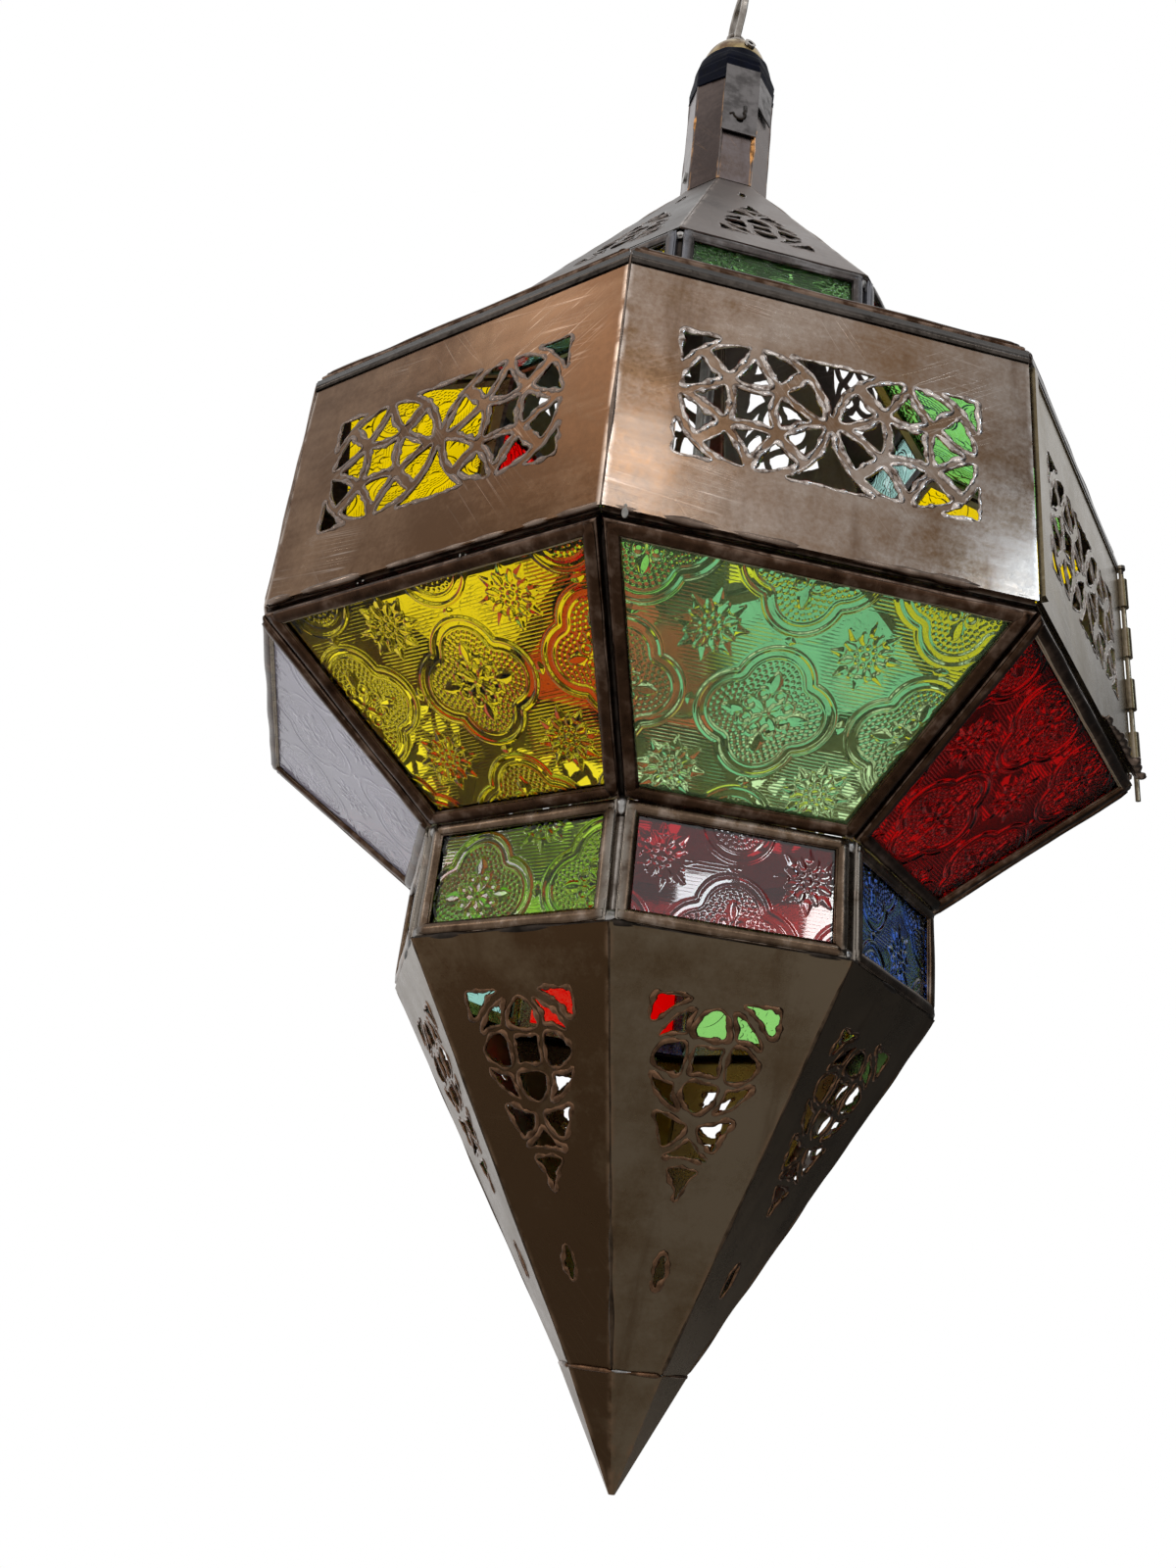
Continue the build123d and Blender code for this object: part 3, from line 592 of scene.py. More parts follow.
def pressed_height(x, y):
    """Share of the relief at points of the pattern in millimetres, and where its ground is hatched."""
    fold_x = np.abs((x + repeat / 2) % repeat - repeat / 2)
    fold_y = np.abs((y + repeat / 2) % repeat - repeat / 2)
    far, near = np.maximum(fold_x, fold_y), np.minimum(fold_x, fold_y)
    lobe = np.hypot(far - lobe_at, near) - lobe_r
    by_cusp = (lobe < 0) & (far < lobe_at + near * (cusp - lobe_at) / cusp)
    depth = np.where(by_cusp, np.hypot(cusp - far, cusp - near), -lobe)

    height = np.where(depth < 0, ground_level, border_level)
    height = np.where(depth > outlines[1][0], field_level, height)
    for place, width, top in outlines:
        height = np.maximum(height, top * ridge(depth - place, width) ** 0.8)

    row = (depth - bead_start) / bead_row
    number = np.round(row)
    row_depth = bead_start + bead_row * number
    row_r = np.maximum(np.where(by_cusp, row_depth, lobe_r - row_depth), dot_r)
    bearing = np.where(by_cusp, np.arctan2(cusp - near, cusp - far), np.arctan2(near, far - lobe_at))
    bend = bearing * row_r / bead_pitch + 0.5 * (number % 2)
    offset = np.hypot((row - number) * bead_row, (bend - np.round(bend)) * bead_pitch)
    beads = field_level + bead_top * ridge(offset, bead_r)
    height = np.where(depth > bead_start - bead_r, np.maximum(height, beads), height)

    reach = np.hypot(far, near)
    height = np.where(reach < hook_at + hook_r, field_level, height)
    hook = ridge(np.hypot(far - hook_at, near - hook_aside) - hook_r, hook_w)
    height = np.where(hook > 0, np.maximum(height, field_level + hook_top * hook), height)
    bud = leaf(far, near, bud_at - bud_l, bud_at + bud_l, bud_w, 0.6)
    height = np.where(bud > 0, leaf_level(bud), height)
    diagonal, across = (fold_x + fold_y) / math.sqrt(2), np.abs(fold_x - fold_y) / math.sqrt(2)
    blade = leaf(diagonal, across, blade_start, blade_end, blade_w)
    height = np.where(blade > 0, leaf_level(blade), height)
    height = np.maximum(height, heart_top * dome(reach, heart_r))

    corner_x, corner_y = repeat / 2 - fold_x, repeat / 2 - fold_y
    reach, bearing = np.hypot(corner_x, corner_y), np.arctan2(corner_y, corner_x)
    tip_turn = (bearing + math.pi / 8) % (math.pi / 4) - math.pi / 8
    petal_turn = bearing % (math.pi / 4) - math.pi / 8
    along, aside = reach * np.cos(tip_turn), np.abs(reach * np.sin(tip_turn))
    rise, fall = (along - tip_base) / (tip_wide - tip_base), (tip_end - along) / (tip_end - tip_wide)
    half, narrowest = tip_w * np.minimum(rise, fall), 0.05
    tips = np.where(half > narrowest, np.clip(1 - aside / np.maximum(half, narrowest), 0, 1), 0)
    height = np.where(tips > 0, field_level + tip_foot + tip_top * tips, height)
    height = np.where(reach < tip_base, field_level, height)
    along, aside = reach * np.cos(petal_turn), np.abs(reach * np.sin(petal_turn))
    petals = leaf(along, aside, petal_start, petal_end, petal_w, 0.5)
    height = np.where(petals > 0, leaf_level(petals), height)
    dots = dome(np.hypot(reach * np.cos(tip_turn) - dot_at, reach * np.sin(tip_turn)), dot_r)
    height = np.maximum(height, field_level + dot_top * dots)
    height = np.maximum(height, eye_top * dome(reach, eye_r))

    knot = np.clip(1 - (repeat / 2 - far) / knot_l - near / knot_w, 0, 1)
    height = np.where(knot > 0, np.maximum(height, ground_level + knot_top * knot ** 0.7), height)
    # The hatching is worn away in patches
    patchy = np.clip(0.7 + 1.2 * np.sin(0.11 * x + 1.3) * np.cos(0.13 * y + 0.4), 0, 1)
    ground = np.clip((-depth - 0.6) / 1.2, 0, 1) * (tips <= 0) * (reach > tip_base) * (knot <= 0) * patchy
    return height, ground


def pane_frame(points):
    """Middle of a flat plate, and its axes to the right, upwards and outwards as rows."""
    middle = points.mean(0)
    normal = np.linalg.svd(points - middle)[2][2]
    normal *= np.sign(normal[:2] @ middle[:2])
    right = unit(np.cross((0, 0, 1), normal))
    return middle, np.array([right, np.cross(normal, right), normal])


def pane_outline(node):
    """Middle and axes of a pane, then in them its foot, head, half widths there, outer and inner face."""
    points = np.unique(node_points(node).round(6), axis=0)
    middle, axes = pane_frame(points)
    local = (points - middle) @ axes.T
    foot, head = local[:, 1].min(), local[:, 1].max()
    half_foot = np.abs(local[local[:, 1] < foot + mm][:, 0]).max()
    half_head = np.abs(local[local[:, 1] > head - mm][:, 0]).max()
    return middle, axes, foot, head, half_foot, half_head, local[:, 2].max(), local[:, 2].min()


def pressed_pane(node, material):
    """Pressed pane in place of a plain one: relief outside, flat inside, closed along its edges."""
    middle, axes, foot, head, half_foot, half_head, top, back = pane_outline(node)
    wide = math.ceil(2 * max(half_foot, half_head) / grid_step)
    tall = math.ceil((head - foot) / grid_step)
    rise = np.linspace(0, 1, tall + 1)[:, None]
    half = half_foot + (half_head - half_foot) * rise
    x = half * np.linspace(-1, 1, wide + 1)[None, :]
    y = foot + (head - foot) * rise + np.zeros_like(x)
    right, below = pattern_starts.get(node, rng.uniform(0, repeat, 2))
    height, ground = pressed_height(x / mm - right, (y - head) / mm + below)
    soft = soft_panes.get(node, 1.0)
    front = np.stack([x, y, top + (height - 1) * relief * soft], axis=-1).reshape(-1, 3)
    rear = np.array([(-half_foot, foot, back), (half_foot, foot, back), (half_head, head, back),
                     (-half_head, head, back)])
    count = len(front)
    index = np.arange(count).reshape(tall + 1, wide + 1)
    faces = grid_quads(index).tolist()
    quads = len(faces)
    corners = list(range(count, count + 4))
    faces.append(corners[::-1])
    for k, edge in enumerate((index[0, ::-1], index[::-1, -1], index[-1], index[:, 0])):
        faces.append([corners[k], corners[(k + 1) % 4]] + edge.tolist())
    world = np.concatenate([front, rear]) @ axes + middle
    made = piece("pressed_" + node, world, faces, material, "lantern")
    made.data.polygons.foreach_set("use_smooth", np.arange(len(faces)) < quads)
    held = made.data.attributes.new("ground", "FLOAT", "POINT")
    held.data.foreach_set("value", np.append(soft ** 2 * ground.reshape(-1), np.zeros(4)).astype(np.float32))
    held = made.data.attributes.new("pattern", "FLOAT_VECTOR", "POINT")
    flat = np.zeros((count + 4, 3), np.float32)
    flat[:count, :2] = front[:, :2]
    held.data.foreach_set("vector", flat.reshape(-1))
    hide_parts(node)


def rim_loops(node, ring, largest):
    """Edges of a sheet's piercings on its outer face, as closed rows of points with the facet's normal."""
    shape = bmesh.new()
    shape.from_mesh(nodes[node].data)
    bmesh.ops.remove_doubles(shape, verts=shape.verts, dist=0.002 * mm)
    neighbours, number_at = {}, {}
    normals = [facet_normal(ring, k) for k in range(facets)]
    for edge in shape.edges:
        if len(edge.link_faces) == 2:
            middle = (edge.verts[0].co + edge.verts[1].co) / 2
            number = round(math.atan2(middle.x, -middle.y) / turn) % facets
            facing = [face.normal.dot(Vector(normals[number])) for face in edge.link_faces]
            if max(facing) > 0.99 and min(map(abs, facing)) < 0.15:
                for a, b in ((0, 1), (1, 0)):
                    neighbours.setdefault(edge.verts[a], []).append(edge.verts[b])
                    number_at[edge.verts[a]] = number
    loops, seen = [], set()
    for start in list(neighbours):
        if start in seen:
            continue
        loop, here, last = [start], start, None
        while True:
            seen.add(here)
            onward = [v for v in neighbours[here] if v is not last and (v not in seen or v is start)]
            if not onward or onward[0] is start:
                break
            last, here = here, onward[0]
            loop.append(here)
        points = np.array([v.co for v in loop])
        if len(loop) > 4 and np.ptp(points, axis=0).max() < largest:
            loops.append((points, normals[number_at[start]]))
    shape.free()
    return loops


def even_steps(points, step):
    """Points at even steps along a closed row of points."""
    closed = np.concatenate([points, points[:1]])
    lengths = np.linalg.norm(np.diff(closed, axis=0), axis=1)
    run = np.concatenate([[0], np.cumsum(lengths)])
    count = max(8, round(run[-1] / step))
    places = np.linspace(0, run[-1], count, endpoint=False)
    return np.stack([np.interp(places, run, closed[:, k]) for k in range(3)], axis=1)


def cut_rims(name, node, material, radius, body="lantern"):
    """Raised, uneven burr that the chisel left round every piercing of a sheet."""
    parts = []
    for points, normal in rim_loops(node, ring_shape(node), largest_cut):
        path = even_steps(points, burr_step)
        count = len(path)
        path = sum(weight * np.roll(path, shift, 0) for shift, weight in enumerate(burr_smooth, -2))
        away = unit(np.cross(normal, np.roll(path, -1, 0) - np.roll(path, 1, 0)))
        away *= np.sign((away * (path - path.mean(0))).sum())
        bead = radius * np.clip(1 + 0.42 * wave_noise(count, 2) + 0.22 * wave_noise(count, 6), 0.45, 2.0)
        lift = 0.1 * mm + 0.1 * mm * wave_noise(count, 3) - 0.25 * bead
        aside = 0.6 * radius + 0.3 * mm * wave_noise(count, 4)
        path = path + normal * lift[:, None] + away * aside[:, None]
        parts.append(sweep(path, np.tile(normal, (count, 1)), bead, flat=0.55))
    joined(name, parts, material, body)


def fold_beads(name, material, runs, radius, step, rough):
    """Uneven beads along straight runs, drawn in at both ends."""
    parts = []
    for start, end in runs:
        count = max(6, round(np.linalg.norm(end - start) / step))
        share = np.linspace(0, 1, count)[:, None]
        path = start * (1 - share) + end * share
        bead = radius * np.clip(1 + rough * wave_noise(count, 5, closed=False), 0.4, 1.7)
        bead[0] = bead[-1] = radius / 3
        parts.append(sweep(path, unit(path * (1, 1, 0)), bead, closed=False))
    joined(name, parts, material)


def corner_beads(name, node, material, corners, radius, inset=None, step=3 * mm, rough=0.25, trim=0.0):
    """Uneven beads where a ring's facets meet, sunk by the inset and cut short by the trim."""
    r_low, low, r_high, high = ring_shape(node)
    inset = inset or radius * 0.65
    runs = [(corner_point(r_low - inset, low + trim, k), corner_point(r_high - inset, high - trim, k))
            for k in corners]
    fold_beads(name, material, runs, radius, step, rough)


def copper_glints(name, node, material):
    """Painted reflection of a warm lamp: copper-coloured strips on lengths of a tube's folds."""
    r_low, low, r_high, high = ring_shape(node)
    runs = [[corner_point(r_low + (r_high - r_low) * share - 1.1 * mm, low + (high - low) * share, corner)
             for share in ends] for corner, *ends in copper_glint_runs]
    fold_beads(name, material, runs, 1.6 * mm, 2 * mm, 0.35)


def ring_seam(name, level, corner_r, radius, material, gaps=()):
    """Uneven bead round the corners of a ring at one level, leaving out some facets."""
    runs = [(corner_point(corner_r, level, k - 1), corner_point(corner_r, level, k))
            for k in range(facets) if k not in gaps]
    fold_beads(name, material, runs, radius, 2 * mm, 0.4)


def frame_ribs(name, ring_name, material):
    """Rolled ridge along every side of the channel frames round a ring's panes."""
    parts = []
    for number in range(1, facets + 1):
        middle, axes, foot, head, half_foot, half_head = pane_outline(f"{ring_name}_pane_{number}")[:6]
        low, high = (half_foot + rib_out, foot - rib_out), (half_head + rib_out, head + rib_out)
        corners = np.array([(-low[0], low[1]), low, high, (-high[0], high[1])])
        for start, end in zip(corners, np.roll(corners, -1, 0)):
            reach = unit(end - start) * rib_half * 0.8
            count = max(8, round(np.linalg.norm(end - start) / (4 * mm)))
            share = np.linspace(0, 1, count)[:, None]
            path = (start - reach) * (1 - share) + (end + reach) * share
            level = rib_level + 0.12 * mm * wave_noise(count, 4, closed=False)
            path = np.column_stack([path, level]) @ axes + middle
            width = rib_half * np.clip(1 + 0.05 * wave_noise(count, 3, closed=False), 0.8, 1.15)
            width[0] = width[-1] = rib_half * 0.7
            parts.append(sweep(path, np.tile(axes[2], (count, 1)), width, sides=12, closed=False, flat=0.5))
    joined(name, parts, material)


def blob(middle, size, outward):
    """Flattened lump of solder on a surface."""
    shape = bmesh.new()
    bmesh.ops.create_icosphere(shape, subdivisions=3, radius=1.0)
    points = np.array([v.co for v in shape.verts])
    faces = [tuple(v.index for v in face.verts) for face in shape.faces]
    shape.free()
    phase = rng.uniform(0, 2 * math.pi, 6)
    lumps = 1 + 0.14 * (np.sin(2.3 * points[:, 0] + phase[0]) + np.sin(2.9 * points[:, 1] + phase[1])
                        + np.sin(3.4 * points[:, 2] + phase[2]))
    out = unit(outward)
    axes = np.array([unit(np.cross((0, 0, 1), out)), (0, 0, 1), out])
    return (points * lumps[:, None] * size) @ axes + middle, faces


def solder_blobs(name, node, levels, material):
    """Solder at the corners of a ring of upright frames."""
    r_low = ring_shape(node)[0]
    parts = []
    for level in levels:
        for k in range(facets):
            middle = corner_point(r_low - 1.6 * mm, level, k)
            size = np.array([2.6, 3.4, 1.7]) * mm * rng.uniform(0.75, 1.25, 3)
            parts.append(blob(middle, size, middle * (1, 1, 0)))
    joined(name, parts, material)


def tongue_hook(material):
    """Dark bent wire on the front tongue, partly standing in for the painted shade of a hooked slot."""
    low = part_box("front_tab")[0]
    face = low[1]
    level, aside = low[2] + wire_level, -0.6 * mm
    path = [(3.2 * mm, face, level + 9 * mm), (3.4 * mm, face, level + 4 * mm)]
    for angle in np.linspace(-0.6, 3.3, 22):
        path.append((aside + wire_bend * math.cos(angle), face, level - wire_bend * math.sin(angle)))
    path = np.array([*path, (-7.5 * mm, face, level - 1.5 * mm)])
    width = np.linspace(*wire_r, len(path))
    points, faces = sweep(path, np.tile((0.0, -1.0, 0.0), (len(path), 1)), width, closed=False, flat=0.6)
    piece("tongue_hook", points, faces, material, "lantern")


def lime_specks(material):
    """Specks of lime and solder along the band's foot and the lower frames."""
    parts = []
    corner_r, foot = ring_shape("band_panels")[:2]
    flat = corner_r * math.cos(half_turn)
    for facet, along, drop, size in speck_places:
        out, right = facet_axes(facet)
        middle = out * (flat - 0.1 * mm) + right * along * mm + np.array([0, 0, foot - drop * mm])
        shape = np.array([size, size * 1.5, 0.5 * size]) * rng.uniform(0.7, 1.3, 3) * mm
        parts.append(blob(middle, shape, out))
    joined("lime_specks", parts, material)


def wound_tape(node, material):
    """Tape wound round the tube's mouth and drawn in over the dome's foot, with lapped turns and creases."""
    low_corner, high_corner = (np.array(corner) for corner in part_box(node))
    foot, head = low_corner[2], high_corner[2]
    flat = high_corner[0]
    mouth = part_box("top_tube")[1][2]
    points = node_points(node)
    top_r = np.hypot(*points[points[:, 2] > head - mm][:, :2].T).max()
    rows, around = 40, 128
    angle = np.linspace(0, 2 * math.pi, around, endpoint=False)[None, :]
    share = np.linspace(0, 1, rows)[:, None]
    rim = foot + tape_slant * (1 + np.sin(angle)) / 2 + 0.8 * mm * np.sin(5 * angle)
    level = rim + (head - rim) * share
    from_flat = (angle + half_turn) % turn - half_turn
    octagon = flat / np.cos(from_flat)
    corner_r = flat / math.cos(half_turn)
    draw = np.clip((level - mouth) / (head - mouth), 0, 1)
    square = octagon * (1 - tape_round) + tape_round * (flat + corner_r) / 2
    radius = square * (1 - draw) + (top_r + 0.4 * mm) * draw
    lap = ((level - foot) / lap_pitch + angle / (2 * math.pi)) % 1.0
    crease = np.sin(13 * angle + 260 * (level - foot)) * np.sin(3 * angle + 1.0) * (0.15 + draw)
    radius = radius - lap_step + lap_step * lap + crease_h * crease
    skins = [np.stack([r * np.cos(angle), r * np.sin(angle), level], axis=-1).reshape(-1, 3)
             for r in (radius, radius - tape_t)]
    points = np.concatenate(skins)
    index = np.arange(rows * around).reshape(rows, around)
    index = np.column_stack([index, index[:, 0]])
    inside = rows * around
    quads = grid_quads(index)
    faces = quads.tolist() + (inside + quads[:, [0, 3, 2, 1]]).tolist()
    for row, flip in ((0, -1), (rows - 1, 1)):
        here, there = index[row, :-1], index[row, 1:]
        faces += np.stack([here, there, inside + there, inside + here], -1)[:, ::flip].tolist()
    made = piece("wound_tape", points, faces, material, "lantern")
    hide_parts(node)


def curled_hem(material):
    """Torn strip of the door's lower hem, curling out towards the hinge."""
    panel = node_points("access_door")
    low = panel[:, 2].min()
    normal, right = facet_axes(door_facet)
    face = ring_shape("band_panels")[0] * math.cos(half_turn)
    reach = (panel @ right).max()
    steps, turns = 60, 14
    share = np.linspace(0, 1, steps)[:, None]
    coil = np.linspace(0, 1, turns)[None, :]
    ragged = 0.5 + 0.25 * wave_noise(steps, 3, closed=False)[:, None]
    bend = hem_bend + hem_widens * share * ragged
    curl = coil * (2.4 + 1.1 * ragged)
    out = face + hem_t / 2 + bend * (1 - np.cos(curl))
    level = low + 1.5 * mm - bend * np.sin(curl) - hem_droop * share ** 3 * coil
    along = reach - hem_start + (hem_start - hem_end) * share + 1.5 * mm * coil * share
    points = out[..., None] * normal + along[..., None] * right
    points[..., 2] = level
    faces = grid_quads(np.arange(steps * turns).reshape(steps, turns)).tolist()
    made = piece("door_curled_hem", points.reshape(-1, 3), faces, material, "door")
    made.modifiers.new("sheet", "SOLIDIFY").thickness = hem_t


# Finishes
band_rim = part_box("band_panels")[1][2] - bead_high
dress(sheet_finish("band_patina", (0.085, 0.042, 0.019), (0.165, 0.098, 0.056), (0.285, 0.23, 0.192),
                   (0.5, 0.43, 0.38), rough=0.21, scored=0.35, mottle=1.3, dusty=True, rim=band_rim),
      "band_panels")
dress(sheet_finish("door_patina", (0.05, 0.034, 0.016), (0.13, 0.10, 0.056), (0.27, 0.225, 0.14),
                   (0.5, 0.45, 0.35), rough=0.26, scored=0.2, tone=0.1, dusty=True, rim=band_rim),
      "access_door", "hinge_knuckles", "door_hinge_pin")
# Painted light: the cone's right-hand facet, number 1, is made paler
dress(sheet_finish("cone_patina", (0.055, 0.030, 0.014), (0.093, 0.062, 0.035), (0.128, 0.096, 0.063),
                   (0.16, 0.1, 0.06), rough=0.3, scored=0.1, dents=1.3, tone=0.45, mottle=2.2,
                   painted_lit_facet=1),
      "cone_panels", "cone_tip")
dress(sheet_finish("roof_patina", (0.055, 0.044, 0.038), (0.115, 0.09, 0.078), (0.19, 0.155, 0.14),
                   (0.42, 0.36, 0.32), rough=0.4, scored=0.3),
      "roof_panels")
dress(sheet_finish("tube_patina", (0.045, 0.03, 0.026), (0.105, 0.076, 0.066), (0.19, 0.165, 0.17),
                   (0.45, 0.25, 0.12), rough=0.3, scored=0.2, wear=2.0 * mm),
      "top_tube")
rail_patina = channel_finish("rail_patina", (0.008, 0.006, 0.005), (0.026, 0.018, 0.013), (0.1, 0.07, 0.052),
                             0.36, 0.6)
lower_channel = channel_finish("lower_channel", (0.014, 0.007, 0.004), (0.045, 0.023, 0.013),
                               (0.17, 0.115, 0.085), 0.3, 0.7, dusty=True)
neck_channel = channel_finish("neck_channel", (0.035, 0.02, 0.012), (0.105, 0.069, 0.045), (0.29, 0.23, 0.19),
                              0.26, 0.9, tin=(0.19, 0.165, 0.14))
upper_channel = channel_finish("upper_channel", (0.025, 0.022, 0.022), (0.07, 0.06, 0.056),
                               (0.19, 0.18, 0.18), 0.3, 0.6, tin=(0.15, 0.15, 0.165))
# Burrs: bare bright metal, dulled by painted shade on the side facets
burr_metal = bright_metal("burr_metal", (0.085, 0.05, 0.033), (0.55, 0.49, 0.45), 0.16, dirt=1.0, spots=300.0,
                          painted_facet_shade=True)
roof_burr = bright_metal("roof_burr", (0.06, 0.046, 0.04), (0.24, 0.2, 0.18), 0.25, dirt=1.0, spots=250.0)
cone_burr = bright_metal("cone_burr", (0.04, 0.022, 0.012), (0.15, 0.08, 0.045), 0.2, dirt=0.9, spots=200.0)
fold_metal = bright_metal("fold_metal", (0.07, 0.044, 0.03), (0.2, 0.15, 0.12), 0.24, dirt=0.95, spots=60.0)
tube_fold = bright_metal("tube_fold", (0.05, 0.038, 0.034), (0.15, 0.12, 0.11), 0.3, dirt=0.8)
# Copper-coloured painted reflection of a warm lamp on the tube's folds
copper_glint_paint = bright_metal("copper_glint_paint", (0.06, 0.03, 0.016), (0.66, 0.31, 0.1), 0.25, dirt=1.0, spots=170.0)
cone_fold = bright_metal("cone_fold", (0.016, 0.011, 0.007), (0.075, 0.05, 0.032), 0.32, dirt=0.8)
solder = bright_metal("solder", (0.06, 0.052, 0.048), (0.4, 0.385, 0.37), 0.3, dirt=0.7)
# Solder in the grooves and the cone's head seam, coloured near-black as painted shade of these recesses
solder_painted_shade = bright_metal("solder_painted_shade", (0.01, 0.008, 0.006), (0.035, 0.027, 0.022), 0.45, dirt=0.8)
post_solder = bright_metal("post_solder", (0.07, 0.05, 0.036), (0.33, 0.295, 0.265), 0.26, dirt=0.8)
dress(bright_metal("tab_tin", (0.05, 0.044, 0.042), (0.15, 0.138, 0.136), 0.36, dirt=0.7), "front_tab")
dress(bright_metal("dome_brass", (0.10, 0.04, 0.02), (0.36, 0.27, 0.13), 0.24, dirt=0.8), "dome_cap")
dress(bright_metal("lamp_steel", (0.12, 0.1, 0.09), (0.5, 0.49, 0.47), 0.3, dirt=0.4),
      "lamp_tube", "cross_bar", "cross_bar_rivets", "tube_nuts", "bulb_base")
dress(bright_metal("link_steel", (0.08, 0.06, 0.045), (0.34, 0.31, 0.28), 0.28, dirt=0.6),
      "hanging_link", "loop_eye", "cord_bush")
tape_vinyl = plain_finish("tape_vinyl", (0.003, 0.004, 0.010), 0.45, 0.08 * mm, 180.0,
                          {"Specular IOR Level": 0.02})
dress(plain_finish("holder_plastic", (0.02, 0.02, 0.02), 0.45, 0.03 * mm, 300.0), "holder_cap", "holder_body")
dress(plain_finish("bulb_clear", (0.74, 0.74, 0.74), 0.14, 0.004 * mm, 30.0,
                   {"Transmission Weight": 1.0, "IOR": 1.3, "Specular Tint": (0.4, 0.4, 0.4, 1.0)}),
      "bulb_glass")
lime = plain_finish("lime", (0.30, 0.28, 0.25), 0.5, 0.02 * mm, 300.0)
glass = {}
for ring_name, (depth, shine) in glass_rings.items():
    for slot, tint in glass_tints.items():
        glass[ring_name, slot] = pressed_glass(f"{ring_name}_{slot}", tuple(c ** depth for c in tint), shine)
odd_panes = {}
for look, (pane_names, *values) in odd_glass.items():
    odd_panes.update(dict.fromkeys(pane_names, pressed_glass(look, *values)))

dress(rail_patina, "band_rails")
dress(lower_channel, "lower_frames", "shoulder_frames")
dress(neck_channel, "lower_neck_frames")
dress(upper_channel, "upper_neck_frames")

# Glass
for ring_name in glass_rings:
    for number in range(1, facets + 1):
        pane_name = f"{ring_name}_pane_{number}"
        pressed_pane(pane_name, odd_panes.get(pane_name, glass[ring_name, slot_of[pane_name]]))

# Burrs, folds and solder
fixed_corners = [k for k in range(facets) if k not in (door_facet - 1, door_facet)]
cut_rims("band_cut_rims", "band_panels", burr_metal, 0.95 * mm)
cut_rims("door_cut_rims", "access_door", burr_metal, 0.6 * mm, "door")
cut_rims("cone_cut_rims", "cone_panels", cone_burr, 1.0 * mm)
cut_rims("roof_cut_rims", "roof_panels", roof_burr, 0.5 * mm)
corner_beads("band_corner_folds", "band_panels", fold_metal, fixed_corners, 0.7 * mm)
corner_beads("cone_corner_folds", "cone_panels", cone_fold, range(facets), 0.8 * mm)
corner_beads("roof_corner_folds", "roof_panels", fold_metal, range(facets), 0.8 * mm)
corner_beads("tube_corner_folds", "top_tube", tube_fold, range(facets), 0.7 * mm)
copper_glints("tube_painted_copper_glints", "top_tube", copper_glint_paint)
tip_r, tip_level = ring_shape("cone_tip")[2:]
ring_seam("tip_ragged_edge", tip_level + 0.3 * mm, tip_r - 0.1 * mm, 0.7 * mm, cone_burr)
ring_seam("tip_solder_line", tip_level + 0.5 * mm, tip_r + 0.1 * mm, 0.6 * mm, solder,
          gaps=range(1, facets))
cone_r, cone_head = ring_shape("cone_panels")[2:]
ring_seam("cone_head_solder", cone_head, cone_r - 1.2 * mm, 1.1 * mm, solder_painted_shade)
band_r, band_foot = ring_shape("band_panels")[:2]
ring_seam("band_rolled_foot", band_foot + 0.8 * mm, band_r - 0.8 * mm, 1.2 * mm, fold_metal,
          gaps=(door_facet,))
for neck in ("lower_neck_frames", "upper_neck_frames"):
    neck_low, neck_high = ring_shape(neck)[1::2]
    solder_blobs(neck.replace("frames", "solder"), neck, (neck_low + 2.5 * mm, neck_high - 2.5 * mm), solder)
for ring_name, rib_finish, groove_finish in (
        ("lower", lower_channel, solder_painted_shade), ("shoulder", lower_channel, solder_painted_shade),
        ("lower_neck", neck_channel, post_solder), ("upper_neck", upper_channel, solder_painted_shade)):
    frame_ribs(f"{ring_name}_ribs", ring_name, rib_finish)
    corner_beads(f"{ring_name}_grooves", f"{ring_name}_frames", groove_finish, range(facets), groove_r,
                 groove_in, groove_step, groove_rough, groove_trim)
# The tongue's wire takes the rails' dark finish as painted shade of a hooked slot
tongue_hook(rail_patina)
lime_specks(lime)
wound_tape("tape_wrap", tape_vinyl)
curled_hem(fold_metal)


# Camera and lamps are set out from the middle of the band's foot
foot_middle = Vector((0, 0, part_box("band_panels")[0][2]))


def floor_finish():
    """Pale floor that fades into the background towards its edge."""
    material, at = new_finish("pale_floor")
    away = at.node("VectorMath", {0: at}, out=1, operation="LENGTH")
    matt = at.node("BsdfDiffuse", {"Color": (*floor_colour, 1.0)})
    clear = at.node("BsdfTransparent")
    faded = at.node("MixShader", {0: away.step(*floor_fade), 1: matt, 2: clear})
    at.node("OutputMaterial", {"Surface": faded})
    return material


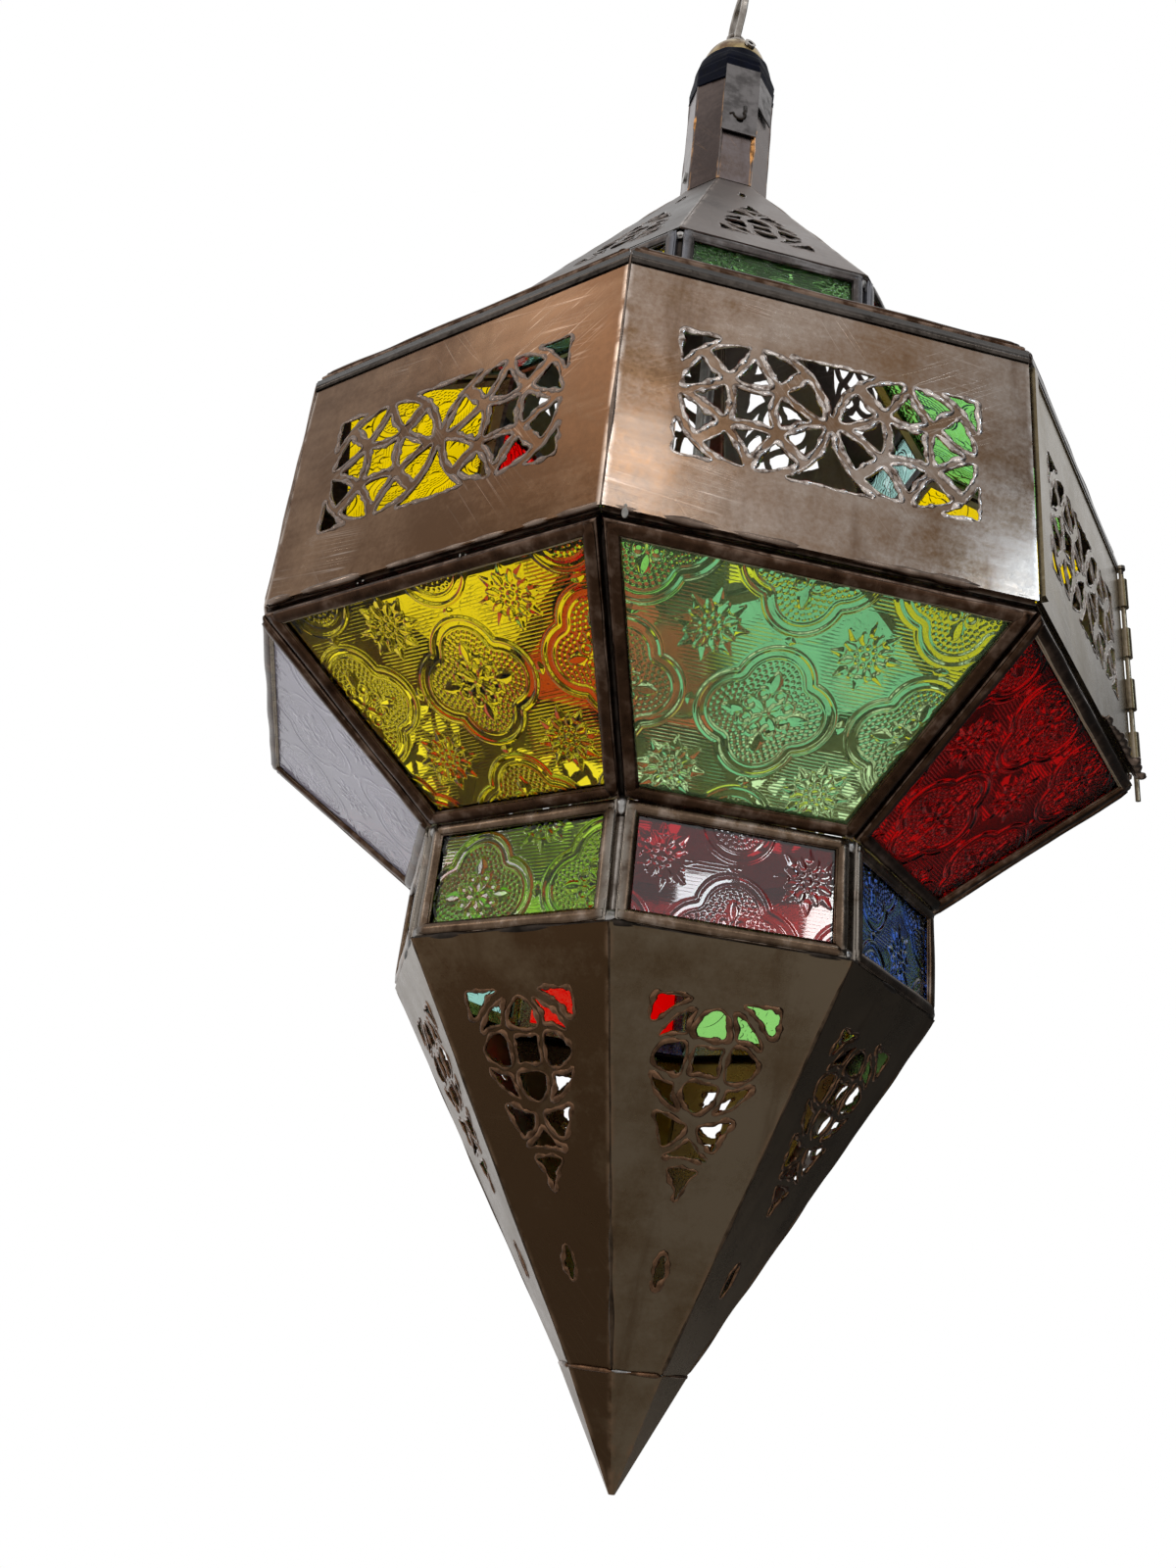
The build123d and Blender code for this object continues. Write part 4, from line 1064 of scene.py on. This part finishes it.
def build_stage():
    """Floor under the lantern, white surroundings and soft lamps."""
    shape = bmesh.new()
    bmesh.ops.create_circle(shape, cap_ends=True, radius=floor_r, segments=96)
    mesh = bpy.data.meshes.new("floor")
    shape.to_mesh(mesh)
    shape.free()
    mesh.materials.append(floor_finish())
    floor = add_object("floor", mesh)
    floor.location = (0, 0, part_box("cone_tip")[0][2] - floor_drop)

    world = bpy.data.worlds.new("surroundings")
    world.use_nodes = True
    world.node_tree.nodes.clear()
    start = Wire(world.node_tree)
    camera, shiny, through = (start.node("LightPath", out=k) for k in (0, 3, 6))
    clear = (camera + through).math("MINIMUM", 1.0)
    x, y, z = start.node("TexCoord", out=0).parts()
    dim_wall = (x * dim_side[0] + y * dim_side[1]).step(0.35, 0.75) * (1 - z.step(0.3, 0.6))
    dim_corner = (x * dim_front[0] + y * dim_front[1] + z * dim_front[2]).step(0.84, 0.96)
    white = 1 - room_level
    seen = white - dim_share * dim_wall.math("MAXIMUM", dim_corner)
    level = room_level + white * clear + shiny * (1 - clear) * seen
    light = start.node("Background", {"Color": (1.0, 1.0, 1.0, 1.0), "Strength": level})
    start.node("OutputWorld", {"Surface": light})
    bpy.context.scene.world = world

    for name, (place, size, power, colour) in lamps.items():
        lamp = bpy.data.lights.new(name, "AREA")
        lamp.size, lamp.energy, lamp.color = size, power, colour
        made = add_object(name, lamp)
        made.visible_camera = made.visible_transmission = False
        made.location = place
        made.rotation_euler = (foot_middle - Vector(place)).to_track_quat("-Z", "Y").to_euler()


def build_camera():
    """Camera under the band, looking up as the photograph does."""
    lens = bpy.data.cameras.new("camera")
    lens.sensor_fit, lens.sensor_height = "VERTICAL", sensor
    lens.lens = focal_px / picture_high * sensor
    lens.shift_x = (picture_wide / 2 - middle_px[0]) / picture_high
    lens.shift_y = (middle_px[1] - picture_high / 2) / picture_high
    lens.clip_start, lens.clip_end = 0.02, 60.0
    camera = add_object("camera", lens)
    heading, tilt, roll = (math.radians(angle) for angle in camera_turns)
    camera.matrix_world = (Matrix.Translation(foot_middle + Vector(camera_at))
                           @ Matrix.Rotation(heading, 4, "Z")
                           @ Matrix.Rotation(math.pi / 2 + tilt, 4, "X") @ Matrix.Rotation(roll, 4, "Z"))
    bpy.context.scene.camera = camera


build_stage()
build_camera()
bpy.context.scene.view_settings.view_transform = "Standard"
